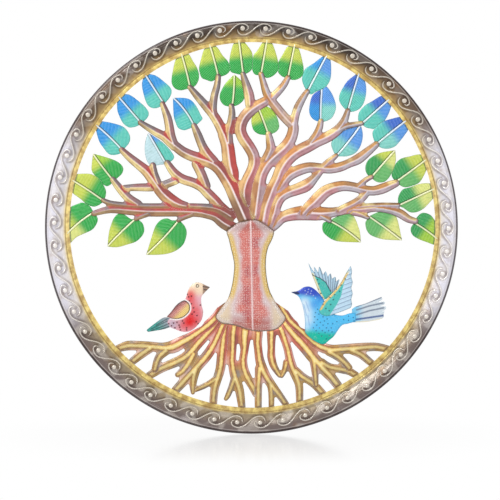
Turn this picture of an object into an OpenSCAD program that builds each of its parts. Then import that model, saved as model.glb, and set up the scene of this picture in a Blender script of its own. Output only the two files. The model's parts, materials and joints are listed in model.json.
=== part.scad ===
// Round wall panel: a tree of life in chased and painted sheet steel, inside a crowned rim.
// X runs to the right, Z up, and the face looks along -Y. The origin is the middle of the panel.

/* [Rim] */
// Outside diameter of the rim
disc_d = 600; // [480:5:720]
// Width of the rim from its outer edge to the opening
rim_w = 34.6; // [28:0.2:42]
// Height of the opening's centre above the rim's centre
opening_rise = 3.5; // [0:0.5:5]
// How far the opening's centre is to the right of the rim's centre
opening_shift = 1.5; // [0:0.5:3]
// Depth of the rim from the wall to its crown
rim_depth = 16; // [14:0.5:24]
// Thickness of the rim's sheet
rim_t = 1.2; // [0.8:0.1:1.6]
// Width of the flange that turns in against the wall
return_w = 9; // [6:0.5:12]

/* [Tree] */
// Thickness of the sheet for the limbs and roots
limb_t = 1.2; // [0.8:0.1:1.6]
// Height of the chased ridge along each limb and root
ridge_h = 1.4; // [0.6:0.2:2.4]
// Part of a limb's width that its ridge takes
ridge_share = 0.2; // [0.16:0.02:0.4]
// Part of a root's width that its ridge takes
root_share = 0.38; // [0.2:0.02:0.5]
// Thickness of limbs and roots against the layout
girth = 1; // [0.85:0.05:1.15]
// Radius of the webs where limbs or roots meet
web_r = 2; // [1:0.25:2.5]
// Gap that the weld fills where two pieces butt together
seam = 0.1; // [0.05:0.05:0.3]
// Thickness of the trunk's sheet
trunk_t = 1.2; // [0.8:0.1:1.6]
// Height of each step of the trunk's crown
trunk_step = 1.5; // [1:0.1:2]

/* [Leaves] */
// Thickness of a leaf
leaf_t = 1; // [0.6:0.1:1.4]
// Height of a leaf's midrib
rib_h = 0.8; // [0.4:0.2:1.2]
// Width of a leaf's midrib
rib_w = 3; // [2:0.5:5]
// Length of a leaf's tip behind the rim
tuck = 6; // [3:0.5:7]

/* [Birds] */
// Thickness of the sheet for the birds
bird_t = 1; // [0.6:0.1:1.2]
// Height of each step of a bird's crown
bird_step = 1.2; // [0.8:0.1:1.4]

/* [Hanger] */
// Diameter of the ring's wire
wire_d = 2.5; // [2:0.25:3]
// Width of the ring between the middles of its legs
ring_w = 18; // [14:1:24]
// Length of the ring from its pivot to the middle of its bow
ring_l = 11.5; // [10.5:0.5:12.5]
// Thickness of the strap
strap_t = 1.2; // [0.8:0.1:1.6]
// Width of the strap
strap_w = 10; // [8:1:12]
// Radial clearance of the wire in the strap
pivot_gap = 0.08; // [0.04:0.01:0.1]
// Room beside the ring in the return flange's notch, where it swings out
notch_gap = 4; // [2:0.5:8]

/* [Hidden] */
$fn = 48;
disc_r = disc_d / 2;
open_r = disc_r - rim_w;
front = rim_depth / 2;
// The layout below is drawn for an opening of this radius and scales with the real one
layout_r = 265.4;
k = open_r / layout_r;
// Points between two stations, along outlines and along ridges
edge_steps = 3;
ridge_steps = 2;
crown_in = disc_r - 25;
sliver = 0.4;

// Limbs: name, then each stretch as stations of [x, z, width], from the trunk outwards
limbs = [
  ["main_left_limb", [
    [[-2, -6, 24], [-8, 10, 22], [-14, 24, 22], [-22, 42, 21], [-29, 58, 20], [-36, 70, 19],
     [-45, 83, 18], [-55, 92, 18], [-70, 98, 17], [-85, 103, 16], [-100, 110, 15], [-115, 122, 14]],
    [[-112, 119, 14], [-118, 124, 14], [-127, 132, 13], [-138, 138, 12], [-150, 145, 10], [-161, 152, 8]],
    [[-112, 118, 14], [-117, 132, 14], [-119, 145, 13], [-122, 160, 12], [-129, 179, 8]],
    [[-55, 95, 16], [-65, 107, 15], [-72, 120, 13], [-78, 135, 12], [-83, 147, 9]]]],
  ["main_right_limb", [
    [[14, -6, 24], [18, 12, 22], [21, 28, 20], [26, 42, 19], [32, 58, 18], [38, 70, 18], [43, 83, 18],
     [52, 97, 18], [64, 108, 18], [81, 117, 18], [96, 125, 17], [112, 132, 16], [126, 142, 14],
     [135, 155, 11], [140, 169, 8]],
    [[85, 121, 12], [94, 134, 11], [99, 145, 10], [101, 154, 8]],
    [[122, 138, 10], [135, 146, 9], [148, 149, 8], [160, 151, 7]]]],
  ["upper_right_limb", [
    [[6, 18, 20], [8, 35, 19], [10, 50, 19], [12, 65, 18], [15, 78, 18], [23, 92, 18], [35, 104, 18],
     [48, 115, 18], [57, 128, 17], [61, 142, 16], [60, 152, 15]],
    [[60, 148, 14], [48, 160, 14], [38, 172, 14], [28, 185, 13], [22, 195, 12], [18, 208, 10],
     [14, 222, 8]],
    [[30, 188, 12], [40, 198, 11], [48, 208, 10], [53, 217, 8]],
    [[61, 148, 13], [64, 163, 12], [68, 175, 12], [75, 188, 10], [81, 197, 8]],
    [[21, 98, 14], [28, 113, 14], [27, 125, 12], [25, 135, 9]]]],
  ["upper_left_limb", [
    [[-27, 62, 16], [-28, 78, 20], [-31, 90, 20], [-33, 105, 20], [-35, 120, 19], [-40, 135, 18]],
    [[-38, 130, 16], [-46, 148, 15], [-55, 163, 14], [-65, 175, 13], [-78, 190, 11], [-89, 203, 8]],
    [[-52, 158, 12], [-56, 170, 12], [-54, 190, 11], [-50, 205, 10], [-48, 219, 8]],
    [[-33, 122, 14], [-33, 138, 12], [-30, 150, 12], [-28, 165, 10], [-29, 176, 8]]]],
  ["winding_limb", [
    [[-6, 18, 18], [-10, 42, 17], [-10, 55, 17], [-6, 68, 17], [0, 80, 17], [4, 92, 17], [3, 105, 17],
     [-4, 118, 17], [-12, 130, 17], [-16, 142, 17], [-13, 155, 17], [-5, 166, 17], [8, 176, 16],
     [22, 184, 14], [30, 190, 12]],
    [[-2, 178, 14], [-3, 190, 15], [-6, 202, 13], [-10, 215, 10], [-12, 222, 8]]]],
  ["second_left_limb", [
    [[-95, 31, 12], [-105, 33, 16], [-118, 40, 19], [-130, 51, 18], [-140, 65, 17], [-150, 79, 16],
     [-160, 88, 14], [-175, 100, 12], [-188, 112, 9]],
    [[-136, 64, 12], [-141, 78, 11], [-143, 90, 9]]]],
  ["low_left_limb", [
    [[-18, -6, 18], [-40, 6, 17], [-52, 15, 14], [-65, 19, 13], [-80, 22, 14], [-110, 23, 15],
     [-150, 23, 15], [-180, 25, 14], [-205, 26, 11], [-229, 20, 8]],
    [[-30, 16, 14], [-45, 25, 12], [-60, 29, 10], [-90, 31, 8], [-120, 31, 8], [-160, 31, 8],
     [-190, 33, 8], [-205, 35, 8], [-215, 39, 7]],
    [[-165, 33, 14], [-178, 42, 13], [-190, 55, 12], [-201, 69, 9]],
    [[-150, 20, 9], [-160, 16, 8], [-168, 12, 6]],
    [[-86, 20, 10], [-97, 15, 8], [-106, 10, 6]]]],
  ["third_left_limb", [
    [[-30, 16, 16], [-45, 30, 15], [-52, 38, 15], [-62, 48, 15], [-72, 58, 14], [-85, 65, 14],
     [-100, 70, 14], [-112, 79, 13], [-122, 93, 10]],
    [[-80, 92, 14], [-72, 76, 14], [-66, 60, 14]],
    [[-185, 57, 9], [-165, 58, 11], [-150, 58, 12], [-135, 59, 12], [-125, 62, 12], [-110, 68, 12]]]],
  ["third_right_limb", [
    [[34, 50, 14], [45, 62, 14], [51, 71, 15], [59, 78, 16], [72, 84, 16], [85, 87, 15], [100, 86, 14],
     [115, 85, 14], [130, 88, 14], [142, 93, 13], [155, 99, 15], [168, 109, 13], [181, 120, 10]],
    [[104, 87, 10], [110, 93, 10], [116, 98, 9], [123, 104, 7]],
    [[28, 6, 16], [33, 20, 16], [36, 32, 16], [42, 43, 16], [52, 50, 16], [66, 55, 17], [80, 61, 18],
     [91, 71, 13], [100, 81, 10]]]],
  ["second_right_limb", [
    [[75, 20, 14], [83, 29, 16], [90, 35, 18], [97, 42, 19], [108, 52, 18], [122, 58, 16], [135, 60, 15],
     [150, 58, 14], [165, 54, 14], [178, 53, 14], [190, 56, 15], [200, 60, 14], [210, 64, 11]],
    [[154, 58, 9], [165, 68, 8], [174, 73, 7]],
    [[128, 24, 12], [140, 30, 12], [150, 35, 12], [160, 42, 12], [168, 52, 12]]]],
  ["low_right_limb", [
    [[18, -8, 16], [35, 4, 14], [45, 14, 16], [60, 19, 19], [80, 21, 22], [100, 20, 20], [120, 22, 14],
     [140, 26, 14], [160, 26, 14], [180, 28, 11], [201, 25, 11], [216, 20, 13], [228, 12, 11], [238, 9, 9]],
    [[145, 29, 8], [170, 31, 8], [190, 32, 8], [213, 32, 7]],
    [[148, 22, 10], [159, 19, 9], [169, 14, 6]],
    [[100, 17, 10], [108, 13, 8], [114, 9, 6]]]]];

// Roots, in the same form; the long ones reach past the opening and are cut to it
roots = [
  ["root_left_1", [
    [[-36, -108, 12], [-50, -129, 14], [-62, -141, 14], [-75, -151, 14], [-88, -160, 15],
     [-101, -167, 18], [-115, -174, 19], [-130, -175, 15], [-147, -173, 14], [-165, -172, 14],
     [-180, -172, 14], [-193, -176, 11], [-206, -181, 9]],
    [[-146, -175, 13], [-158, -183, 13], [-167, -190, 12], [-180, -201, 10]],
    [[-124, -179, 14], [-133, -187, 12], [-137, -195, 11], [-140, -206, 10]]]],
  ["root_right_1", [
    [[38, -106, 10], [54, -133, 12], [66, -145, 12], [78, -155, 13], [90, -166, 14], [102, -174, 15],
     [116, -178, 15], [130, -177, 14], [150, -176, 15], [168, -174, 13], [184, -174, 12],
      [203, -178, 10]],
    [[112, -180, 13], [124, -187, 12], [133, -194, 11], [142, -204, 10]],
    [[144, -178, 12], [158, -184, 12], [168, -192, 11], [182, -204, 10]]]],
  ["root_left_2", [
    [[-34, -116, 12], [-48, -134, 13], [-58, -147, 14], [-68, -158, 15], [-78, -169, 15], [-87, -180, 15],
     [-97, -189, 14], [-110, -196, 14], [-122, -201, 13], [-135, -207, 13], [-152, -218, 11]],
    [[-84, -184, 13], [-91, -197, 14], [-99, -208, 12], [-107, -214, 8]]]],
  ["root_right_2", [
    [[36, -116, 14], [48, -138, 14], [58, -152, 16], [68, -163, 18], [78, -174, 18], [88, -187, 17],
     [98, -198, 17], [108, -209, 16], [118, -220, 14], [133, -240, 12]],
    [[90, -192, 12], [92, -205, 11], [93, -218, 9], [94, -229, 7]],
    [[102, -196, 12], [114, -203, 11], [130, -206, 12], [144, -210, 11], [160, -221, 10]]]],
  ["root_left_3", [
    [[-34, -124, 12], [-42, -142, 12], [-48, -156, 13], [-55, -171, 14], [-63, -184, 15], [-73, -196, 15],
     [-84, -208, 15], [-95, -220, 14], [-104, -230, 13], [-118, -245, 11]],
    [[-80, -204, 14], [-84, -218, 13], [-85, -230, 10], [-85, -240, 6]]]],
  ["root_right_3", [
    [[36, -128, 14], [44, -150, 14], [49, -165, 12], [53, -178, 12], [56, -192, 13], [60, -205, 14],
     [65, -216, 14], [69, -228, 12], [70, -242, 11], [70, -264, 10]],
    [[51, -196, 10], [48, -208, 8], [44, -216, 6]],
    [[64, -208, 12], [74, -217, 12], [84, -223, 11], [94, -231, 11], [103, -241, 11], [114, -254, 10]],
    [[25, -128, 14], [29, -150, 14], [29, -165, 12], [29, -176, 11], [29, -188, 12], [32, -200, 11],
     [37, -209, 9], [41, -215, 7]]]],
  ["root_left_4", [
    [[-32, -126, 10], [-38, -145, 10], [-41, -165, 13], [-43, -185, 14], [-45, -205, 14], [-50, -222, 13],
     [-54, -238, 12], [-56, -266, 11]],
    [[-50, -219, 10], [-62, -227, 8], [-72, -232, 8], [-83, -237, 6]]]],
  ["root_centre_right", [
    [[8, -132, 16], [10, -150, 14], [9, -165, 13], [10, -178, 12], [12, -192, 13], [16, -206, 15],
     [22, -218, 14], [30, -230, 13], [38, -240, 11], [46, -251, 10], [56, -266, 9]],
    [[12, -205, 14], [11, -218, 12], [10, -235, 11], [10, -266, 10]],
    [[27, -226, 11], [29, -240, 9], [29, -266, 8]]]],
  ["root_centre_left", [
    [[-22, -132, 14], [-26, -150, 14], [-27, -175, 11], [-28, -192, 12], [-26, -208, 13], [-22, -222, 14],
     [-17, -238, 13], [-13, -268, 10]],
    [[-24, -218, 11], [-29, -232, 9], [-34, -244, 8], [-37, -249, 6]],
    [[-6, -132, 20], [-9, -150, 22], [-10, -165, 17], [-10, -178, 12], [-12, -192, 12], [-11, -205, 13],
     [-6, -218, 13], [1, -230, 12], [7, -242, 11]]]]];

// Leaves: tip, one edge from tip to base, base, other edge from base to tip, and how far the midrib
// bows to the side. A leaf lies in front of every leaf after it in the list.
leaves = [
  [[-277, -20], [[-266, -25], [-255, -15], [-245, -10], [-232, -4], [-226, 3], [-223, 12]],
   [-228, 22], [[-231, 25], [-235, 31], [-245, 36], [-255, 33], [-266, 28], [-277, 18]], 3],
  [[-209, -28], [[-195, -29], [-180, -25], [-168, -21], [-160, -14], [-156, -7], [-156, 0],
   [-159, 7]], [-167, 13], [[-175, 12], [-185, 19], [-193, 20], [-200, 13], [-204, 3], [-207, -8]], 1],
  [[-153, -40], [[-135, -40], [-120, -38], [-108, -33], [-99, -25], [-95, -15], [-94, -6],
   [-97, 2]], [-105, 11], [[-115, 10], [-122, 13], [-131, 11], [-138, 4], [-142, -5],
   [-146, -18]], -1.9],
  [[-270, 74], [[-261, 52], [-255, 46], [-248, 41], [-240, 34], [-230, 30], [-222, 32]],
   [-214, 38], [[-211, 50], [-214, 60], [-222, 71], [-232, 77], [-242, 78], [-257, 77]], 1],
  [[-230, 107], [[-215, 103], [-200, 98], [-190, 92], [-186, 85], [-188, 78], [-193, 73]],
   [-200, 67], [[-206, 61], [-212, 60], [-220, 67], [-231, 80], [-232, 90]], -0.7],
  [[-228, 150], [[-216, 154], [-190, 148], [-180, 140], [-176, 130], [-178, 122], [-183, 116]],
   [-187, 111], [[-191, 107], [-200, 105], [-208, 107], [-216, 117], [-222, 127]], 1.5],
  [[-195, 192], [[-178, 193], [-160, 180], [-152, 172], [-149, 165], [-152, 158]], [-160, 151],
   [[-166, 147], [-174, 145], [-180, 146], [-187, 152], [-192, 162], [-195, 172]], 0],
  [[-155, 223], [[-140, 221], [-125, 210], [-117, 202], [-116, 195], [-119, 188], [-124, 182]],
   [-127, 179], [[-135, 174], [-143, 173], [-149, 176], [-153, 182], [-157, 195], [-159, 209]], 0],
  [[-114, 188], [[-98, 188], [-88, 185], [-80, 176], [-74, 164], [-71, 158], [-75, 153]],
   [-83, 146], [[-91, 143], [-98, 141], [-106, 144], [-110, 152], [-113, 163]], 3.2],
  [[-150, 137], [[-138, 130], [-124, 119], [-113, 105], [-114, 98]], [-124, 92], [[-137, 90],
   [-143, 89], [-149, 92], [-153, 100], [-155, 112], [-154, 125]], 0],
  [[-103, 256], [[-92, 253], [-84, 240], [-79, 232], [-76, 222], [-77, 213], [-82, 205]],
   [-89, 202], [[-97, 200], [-103, 199], [-110, 201], [-115, 207], [-116, 215], [-114, 228],
   [-110, 244]], 0.8],
  [[-62, 269], [[-50, 262], [-42, 250], [-34, 241], [-31, 232], [-32, 226], [-38, 221]],
   [-48, 218], [[-57, 212], [-65, 214], [-72, 217], [-75, 224], [-76, 232], [-73, 245],
   [-69, 258]], 0.7],
  [[-19, 279], [[-9, 268], [0, 256], [2, 248], [2, 240], [1, 230], [-4, 225]], [-12, 221],
   [[-22, 223], [-30, 226], [-32, 233], [-32, 242], [-30, 254], [-26, 267]], 0],
  [[-25, 222], [[-20, 218], [-12, 210], [-9, 200], [-10, 190], [-12, 184], [-19, 178]], [-28, 175],
   [[-39, 177], [-45, 184], [-46, 192], [-43, 200], [-37, 210]], 1],
  [[24, 279], [[15, 267], [8, 256], [3, 250], [2, 240], [1, 230], [5, 222]], [14, 221], [[22, 217],
   [30, 219], [37, 225], [40, 232], [39, 240], [36, 252], [31, 266]], 0],
  [[64, 270], [[52, 262], [46, 252], [40, 242], [38, 234], [39, 225], [45, 219]], [53, 216],
   [[60, 214], [67, 215], [74, 220], [76, 230], [74, 242], [70, 257]], 0],
  [[9, 176], [[5, 170], [0, 157], [1, 147], [4, 140], [12, 135]], [25, 134], [[35, 138], [40, 144],
   [40, 151], [37, 161], [31, 170], [22, 176]], 0.6],
  [[112, 253], [[103, 248], [90, 238], [78, 230], [74, 220], [74, 212], [77, 204]], [81, 196],
   [[87, 193], [94, 197], [103, 201], [110, 206], [115, 216], [116, 230], [115, 243]], -0.3],
  [[103, 208], [[99, 200], [89, 192], [85, 180], [84, 168], [87, 160], [93, 155]], [101, 153],
   [[108, 154], [116, 158], [121, 166], [123, 175], [121, 185], [116, 196], [109, 205]], -0.8],
  [[158, 228], [[150, 221], [140, 213], [133, 203], [128, 192], [128, 183], [133, 175]],
   [140, 168], [[148, 168], [157, 172], [163, 180], [166, 190], [167, 201], [165, 213]], -0.5],
  [[232, 160], [[219, 161], [205, 158], [190, 153], [178, 142], [176, 135], [178, 127]],
   [181, 120], [[186, 117], [190, 115], [198, 114], [208, 117], [215, 124], [222, 133],
   [229, 144]], -0.5],
  [[206, 191], [[191, 192], [175, 183], [165, 177], [157, 168], [155, 160], [156, 154]],
   [160, 150], [[165, 146], [170, 144], [180, 143], [190, 150], [198, 162], [203, 175]], 0],
  [[159, 149], [[150, 147], [140, 143], [130, 138], [120, 130], [116, 122], [118, 113]],
   [123, 103], [[131, 103], [138, 103], [148, 106], [155, 112], [160, 122], [162, 135]], 1.3],
  [[209, 112], [[190, 109], [178, 104], [170, 98], [166, 90], [166, 82], [169, 76]], [174, 72],
   [[180, 67], [187, 65], [195, 67], [202, 75], [207, 86], [210, 98]], -0.2],
  [[274, 60], [[258, 64], [244, 63], [230, 58], [220, 55], [214, 46], [213, 38]], [213, 31],
   [[221, 28], [230, 22], [240, 22], [250, 27], [259, 36], [268, 47]], 0],
  [[259, 102], [[244, 106], [230, 103], [218, 100], [210, 93], [205, 82], [204, 74]], [210, 66],
   [[216, 61], [224, 58], [236, 61], [245, 66], [252, 78], [257, 90]], 0.3],
  [[281, -24], [[279, -8], [271, 2], [266, 11], [260, 18], [252, 21], [246, 20], [240, 14]],
   [237, 7], [[232, 0], [232, -7], [236, -13], [245, -18], [256, -22], [268, -26]], -0.3],
  [[219, -19], [[217, -10], [215, 0], [212, 12], [208, 19], [200, 22], [190, 24], [179, 20]],
   [171, 16], [[166, 8], [166, 2], [168, -5], [173, -11], [182, -15], [195, -18]], 0],
  [[159, -22], [[158, -8], [155, 2], [152, 10], [147, 18], [137, 20], [127, 17], [119, 13]],
   [113, 9], [[105, 7], [103, 1], [104, -6], [109, -12], [118, -18], [130, -21]], -2.4]];

// Outline of the trunk, round from its top left
trunk_edge = [[-36, -6], [-28, 1], [-20, 7], [-10, 9], [0, 11], [8, 11], [16, 7], [25, 1], [33, -6],
  [30, -18], [25, -28], [22, -40], [21, -55], [22, -70], [24, -82], [27, -93], [32, -103],
  [37, -112], [44, -122], [50, -132], [43, -143], [34, -149], [20, -151], [6, -151], [-8, -148],
  [-22, -143], [-34, -141], [-44, -139], [-52, -130], [-44, -118], [-35, -105], [-31, -95],
  [-28, -83], [-26, -70], [-25, -55], [-27, -42], [-30, -30], [-33, -17]];

// Outlines of the birds, with corners where a run ends: each outline is a list of smooth runs
red_body = [
  [[-60, -87], [-67, -84], [-73, -81], [-79, -80], [-85, -82], [-90, -88], [-93, -95], [-95, -102],
   [-102, -113], [-110, -122], [-118, -131], [-122, -138]],
  [[-122, -138], [-118, -145], [-111, -148], [-103, -151], [-96, -152], [-90, -151], [-83, -147],
   [-77, -141], [-72, -134], [-70, -123], [-72, -114], [-73, -106], [-72, -100], [-68, -95], [-65, -92],
   [-60, -87]]];
red_tail = [
  [[-118, -132], [-127, -131], [-138, -138], [-151, -148]], [[-151, -148], [-152, -150], [-150, -152]],
  [[-150, -152], [-138, -150], [-127, -148], [-118, -145]], [[-118, -145], [-118, -132]]];
red_wing = [
  [[-123, -130], [-116, -122], [-108, -112], [-98, -106], [-91, -110], [-89, -116], [-90, -122],
   [-95, -128], [-102, -132], [-112, -133], [-123, -130]]];
blue_body = [
  [[57, -94], [65, -93], [70, -91], [76, -87], [84, -86], [92, -90], [100, -98], [106, -107], [112, -118],
   [120, -126], [132, -128], [142, -125], [151, -124]],
  [[151, -124], [152, -131], [151, -137]],
  [[151, -137], [140, -140], [132, -142], [126, -149], [120, -158], [113, -164], [105, -170], [95, -167],
   [85, -160], [78, -152], [78, -140], [77, -128], [75, -117], [72, -107], [68, -100], [63, -97],
    [57, -94]]];
blue_tail = [
  [[146, -119], [152, -115], [165, -111], [177, -106], [189, -101]], [[189, -101], [190, -105],
   [183, -109]],
  [[183, -109], [193, -108], [193, -112], [184, -115]], [[184, -115], [195, -115], [194, -120],
   [184, -123]],
  [[184, -123], [193, -122], [192, -126], [192, -131], [186, -134]],
  [[186, -134], [170, -137], [158, -138], [146, -138]], [[146, -138], [146, -119]]];
blue_near_wing = [
  [[100, -117], [106, -107], [114, -99], [122, -90], [130, -80], [136, -69], [144, -56]],
  [[144, -56], [146, -64], [145, -72], [147, -80], [145, -88], [147, -96], [145, -104], [146, -112],
   [144, -117]],
  [[144, -117], [132, -122], [120, -126], [110, -129], [102, -127], [98, -122], [100, -117]]];
blue_far_wing = [
  [[104, -106], [99, -97], [94, -84], [88, -69], [82, -50]], [[82, -50], [87, -59], [92, -66]],
  [[92, -66], [91, -57], [97, -66]], [[97, -66], [99, -57], [104, -69]], [[104, -69], [108, -64],
   [111, -72]],
  [[111, -72], [115, -67], [117, -75]], [[117, -75], [122, -72], [123, -79]],
  [[123, -79], [128, -76], [122, -92], [112, -102], [104, -106]]];

leaf_names = [for (i = [1:len(leaves)]) str("leaf_", i < 10 ? "0" : "", i)];

// --- Curves and sheets ---

function at(p, i) = p[min(max(i, 0), len(p) - 1)];
function xy(p) = [p[0], p[1]];
function backwards(p) = [for (i = [len(p) - 1:-1:0]) p[i]];
// One point of the smooth curve through b and c, with a and d as its neighbours
function bend(a, b, c, d, t) =
  (2 * b + (c - a) * t + (2 * a - 5 * b + 4 * c - d) * t ^ 2 + (3 * b - a - 3 * c + d) * t ^ 3) / 2;
function smooth(p, n) = concat(
  [for (i = [0:len(p) - 2]) for (j = [0:n - 1]) bend(at(p, i - 1), p[i], p[i + 1], at(p, i + 2), j / n)],
  [p[len(p) - 1]]);
function round_loop(p, n) = [for (i = [0:len(p) - 1]) for (j = [0:n - 1])
  bend(p[(i + len(p) - 1) % len(p)], p[i], p[(i + 1) % len(p)], p[(i + 2) % len(p)], j / n)];
function heading(p, i) = let (d = xy(at(p, i + 1)) - xy(at(p, i - 1))) d / norm(d);
// The edge of a strip, half its width to one side of its middle line
function flank(p, side) = [for (i = [0:len(p) - 1])
  let (h = heading(p, i)) xy(p[i]) + side * p[i][2] / 2 * [-h[1], h[0]]];
function band(p) = concat(flank(p, 1), backwards(flank(p, -1)));

// A flat sheet whose back is at height level in front of the tree's plane
module sheet(level, thick) {
  rotate([90, 0, 0])
    translate([0, 0, level])
      linear_extrude(thick) children();
}

// A crowned sheet in terraces: rings that step in and up, and a flat top
module terraces(level, step, inset, count, thick) {
  for (i = [0:count - 1])
    sheet(level + i * step, step)
      difference() {
        offset(delta = -i * inset) children();
        offset(delta = -(i + 1) * inset - thick) children();
      }
  sheet(level + count * step, thick)
    offset(delta = -count * inset) children();
}

module strip(stations, share, steps) {
  p = smooth([for (s = stations) [s[0] * k, s[1] * k, s[2] * k * girth * share]], steps);
  polygon(band(p));
  for (e = [p[0], p[len(p) - 1]])
    translate(xy(e)) circle(d = e[2], $fn = 12);
}

module runs(outline) {
  polygon([for (run = outline) each [for (p = smooth(run, edge_steps)) k * p]]);
}

// All the strips up to entry i of a list, with webs in their forks
module grown(list, i) {
  offset(r = -web_r, $fn = 12)
    offset(r = web_r, $fn = 12)
      for (j = [0:1:i])
        for (stations = list[j][1]) strip(stations, 1, edge_steps);
}

// All the entries before i, with room for the weld
module earlier(list, i) {
  if (i > 0)
    offset(delta = seam) grown(list, i - 1);
}

// Entry i alone, butted against the entries before it, with no slivers
module cut_piece(list, i) {
  difference() {
    offset(delta = sliver)
      offset(delta = -sliver)
        difference() {
          grown(list, i);
          earlier(list, i);
        }
    earlier(list, i);
  }
}

module opening(inset) {
  translate([opening_shift, opening_rise]) circle(r = open_r - inset, $fn = 180);
}

module trunk_outline() {
  polygon(k * round_loop(trunk_edge, edge_steps));
}

module over_tree() {
  offset(delta = 0.5) {
    trunk_outline();
    runs(red_body);
    runs(blue_body);
  }
}

// A limb or root: its sheet, with a raised ridge along the middle of each stretch
module tree_strip(list, i, share) {
  sheet(0, limb_t)
    intersection() {
      cut_piece(list, i);
      opening(seam);
    }
  sheet(limb_t - seam / 2, ridge_h + seam / 2)
    difference() {
      intersection() {
        cut_piece(list, i);
        for (stations = list[i][1]) strip(stations, share, ridge_steps);
        opening(2);
      }
      over_tree();
    }
}

// --- Rim ---

// Middle line of the crown's section as [radius, height], from the flange out to the wall
crown_path = [[crown_in, rim_t / 2], [crown_in + 4.5, 0.4 * front], [disc_r - 15.5, 0.82 * front],
  [disc_r - 11.5, front - rim_t / 2], [disc_r - 7, 0.82 * front], [disc_r - 3, 0.5 * front],
  [disc_r - rim_t / 2 - 0.6, 0.1 * front], [disc_r - rim_t / 2, -0.3 * front],
  [disc_r - rim_t / 2, rim_t / 2 - front]];

module rim() {
  color([0.52, 0.42, 0.26]) {
    rotate([90, 0, 0])
      rotate_extrude($fn = 180)
        polygon(band([for (p = smooth(crown_path, 2)) [p[0], p[1], rim_t]]));
    sheet(0, rim_t)
      difference() {
        circle(r = crown_in + rim_t / 2, $fn = 180);
        opening(0);
      }
    sheet(-front, rim_t)
      difference() {
        circle(r = disc_r - rim_t / 2, $fn = 180);
        circle(r = disc_r - return_w, $fn = 180);
        translate([-notch_w / 2, 0]) square([notch_w, disc_r - 1.5 * rim_t]);
      }
  }
}

// --- Tree ---

module trunk() {
  color([0.75, 0.45, 0.42])
    terraces(limb_t, trunk_step, 6, 3, trunk_t) trunk_outline();
}

module limb(i) {
  color([0.80, 0.62, 0.45]) tree_strip(limbs, i, ridge_share);
}

module root(i) {
  color([0.72, 0.52, 0.32]) tree_strip(roots, i, root_share);
}

function leaf_edge(leaf) = k * concat(smooth(concat([leaf[0]], leaf[1], [leaf[2]]), edge_steps),
  smooth(concat([leaf[2]], leaf[3], [leaf[0]]), edge_steps));

// The midrib runs from tip to base, bows to the side, and is narrower towards the tip
function midrib(leaf) = let (way = leaf[2] - leaf[0], side = [-way[1], way[0]] / norm(way))
  [for (t = [0.26:0.12:0.75])
    let (p = leaf[0] + t * way + 4 * t * (1 - t) * leaf[4] * side)
      [p[0], p[1], rib_w / k * (0.6 + 0.4 * t)]];

// Blue leaves grow at the sides of the crown, green ones elsewhere
blue_leaves = [6, 7, 8, 9, 10, 18, 19, 20, 21, 22, 23];
function leaf_colour(i) = len(search(i + 1, blue_leaves)) > 0 ? [0.15, 0.55, 0.80] : [0.35, 0.72, 0.20];

module leaf_outline(i) {
  offset(delta = sliver)
    offset(delta = -sliver)
      difference() {
        polygon(leaf_edge(leaves[i]));
        for (j = [0:1:i - 1])
          offset(delta = seam) polygon(leaf_edge(leaves[j]));
      }
}

// A leaf: its sheet lies behind its twig and the rim, and its midrib stands between them
module leaf(i) {
  color(leaf_colour(i)) {
    sheet(-leaf_t, leaf_t)
      intersection() {
        leaf_outline(i);
        opening(-tuck);
      }
    sheet(-leaf_t / 2, leaf_t / 2 + rib_h)
      intersection() {
        opening(2);
        strip(midrib(leaves[i]), 1 / girth, ridge_steps);
      }
  }
}

// --- Birds ---

module red_bird_body() {
  color([0.85, 0.20, 0.20]) terraces(limb_t, bird_step, 4, 1, bird_t) runs(red_body);
}

module red_bird_wing() {
  color([0.75, 0.45, 0.40])
    terraces(limb_t + bird_step + bird_t, bird_step, 4, 1, bird_t) runs(red_wing);
}

module red_bird_tail() {
  color([0.30, 0.62, 0.58]) sheet(0, limb_t) runs(red_tail);
}

module blue_bird_body() {
  color([0.15, 0.55, 0.80]) terraces(limb_t, bird_step, 4, 1, bird_t) runs(blue_body);
}

module blue_bird_near_wing() {
  color([0.25, 0.70, 0.72])
    terraces(limb_t + bird_step + bird_t, bird_step, 4, 1, bird_t) runs(blue_near_wing);
}

module blue_bird_far_wing() {
  color([0.30, 0.65, 0.70]) sheet(0, limb_t) runs(blue_far_wing);
}

module blue_bird_tail() {
  color([0.40, 0.62, 0.75]) sheet(0, limb_t) runs(blue_tail);
}

// --- Hanger ---

// The strap is a knuckle round the ring's bar, with a flat leg that is welded inside the crown
knuckle_r = wire_d / 2 + pivot_gap + strap_t;
pivot_level = -front + rim_t + knuckle_r;
pivot_z = disc_r - rim_t - wire_d / 2 - ring_l - 1;
notch_w = ring_w + wire_d + 2 * notch_gap;
strap_weld = 0.3;

module pivot_rod(r, l) {
  translate([0, -pivot_level, pivot_z])
    rotate([0, 90, 0])
      cylinder(r = r, h = l, center = true);
}

module hanger_strap() {
  leg_end = front - rim_t - strap_weld;
  color([0.62, 0.62, 0.64])
    difference() {
      union() {
        pivot_rod(knuckle_r, strap_w);
        translate([-strap_w / 2, -leg_end, pivot_z + knuckle_r - strap_t])
          cube([strap_w, leg_end - pivot_level, strap_t]);
      }
      pivot_rod(wire_d / 2 + pivot_gap, strap_w + 2);
    }
}

module hanger_ring() {
  bow_r = ring_w / 2;
  bow_z = pivot_z - ring_l + bow_r;
  color([0.70, 0.70, 0.72]) {
    pivot_rod(wire_d / 2, ring_w);
    for (side = [-1, 1])
      translate([side * bow_r, -pivot_level, bow_z]) {
        cylinder(d = wire_d, h = pivot_z - bow_z);
        translate([0, 0, pivot_z - bow_z]) sphere(d = wire_d);
      }
    translate([0, -pivot_level, bow_z])
      rotate([90, 0, 0])
        rotate([0, 0, 180])
          rotate_extrude(angle = 180)
            translate([bow_r, 0]) circle(d = wire_d);
  }
}

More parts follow.
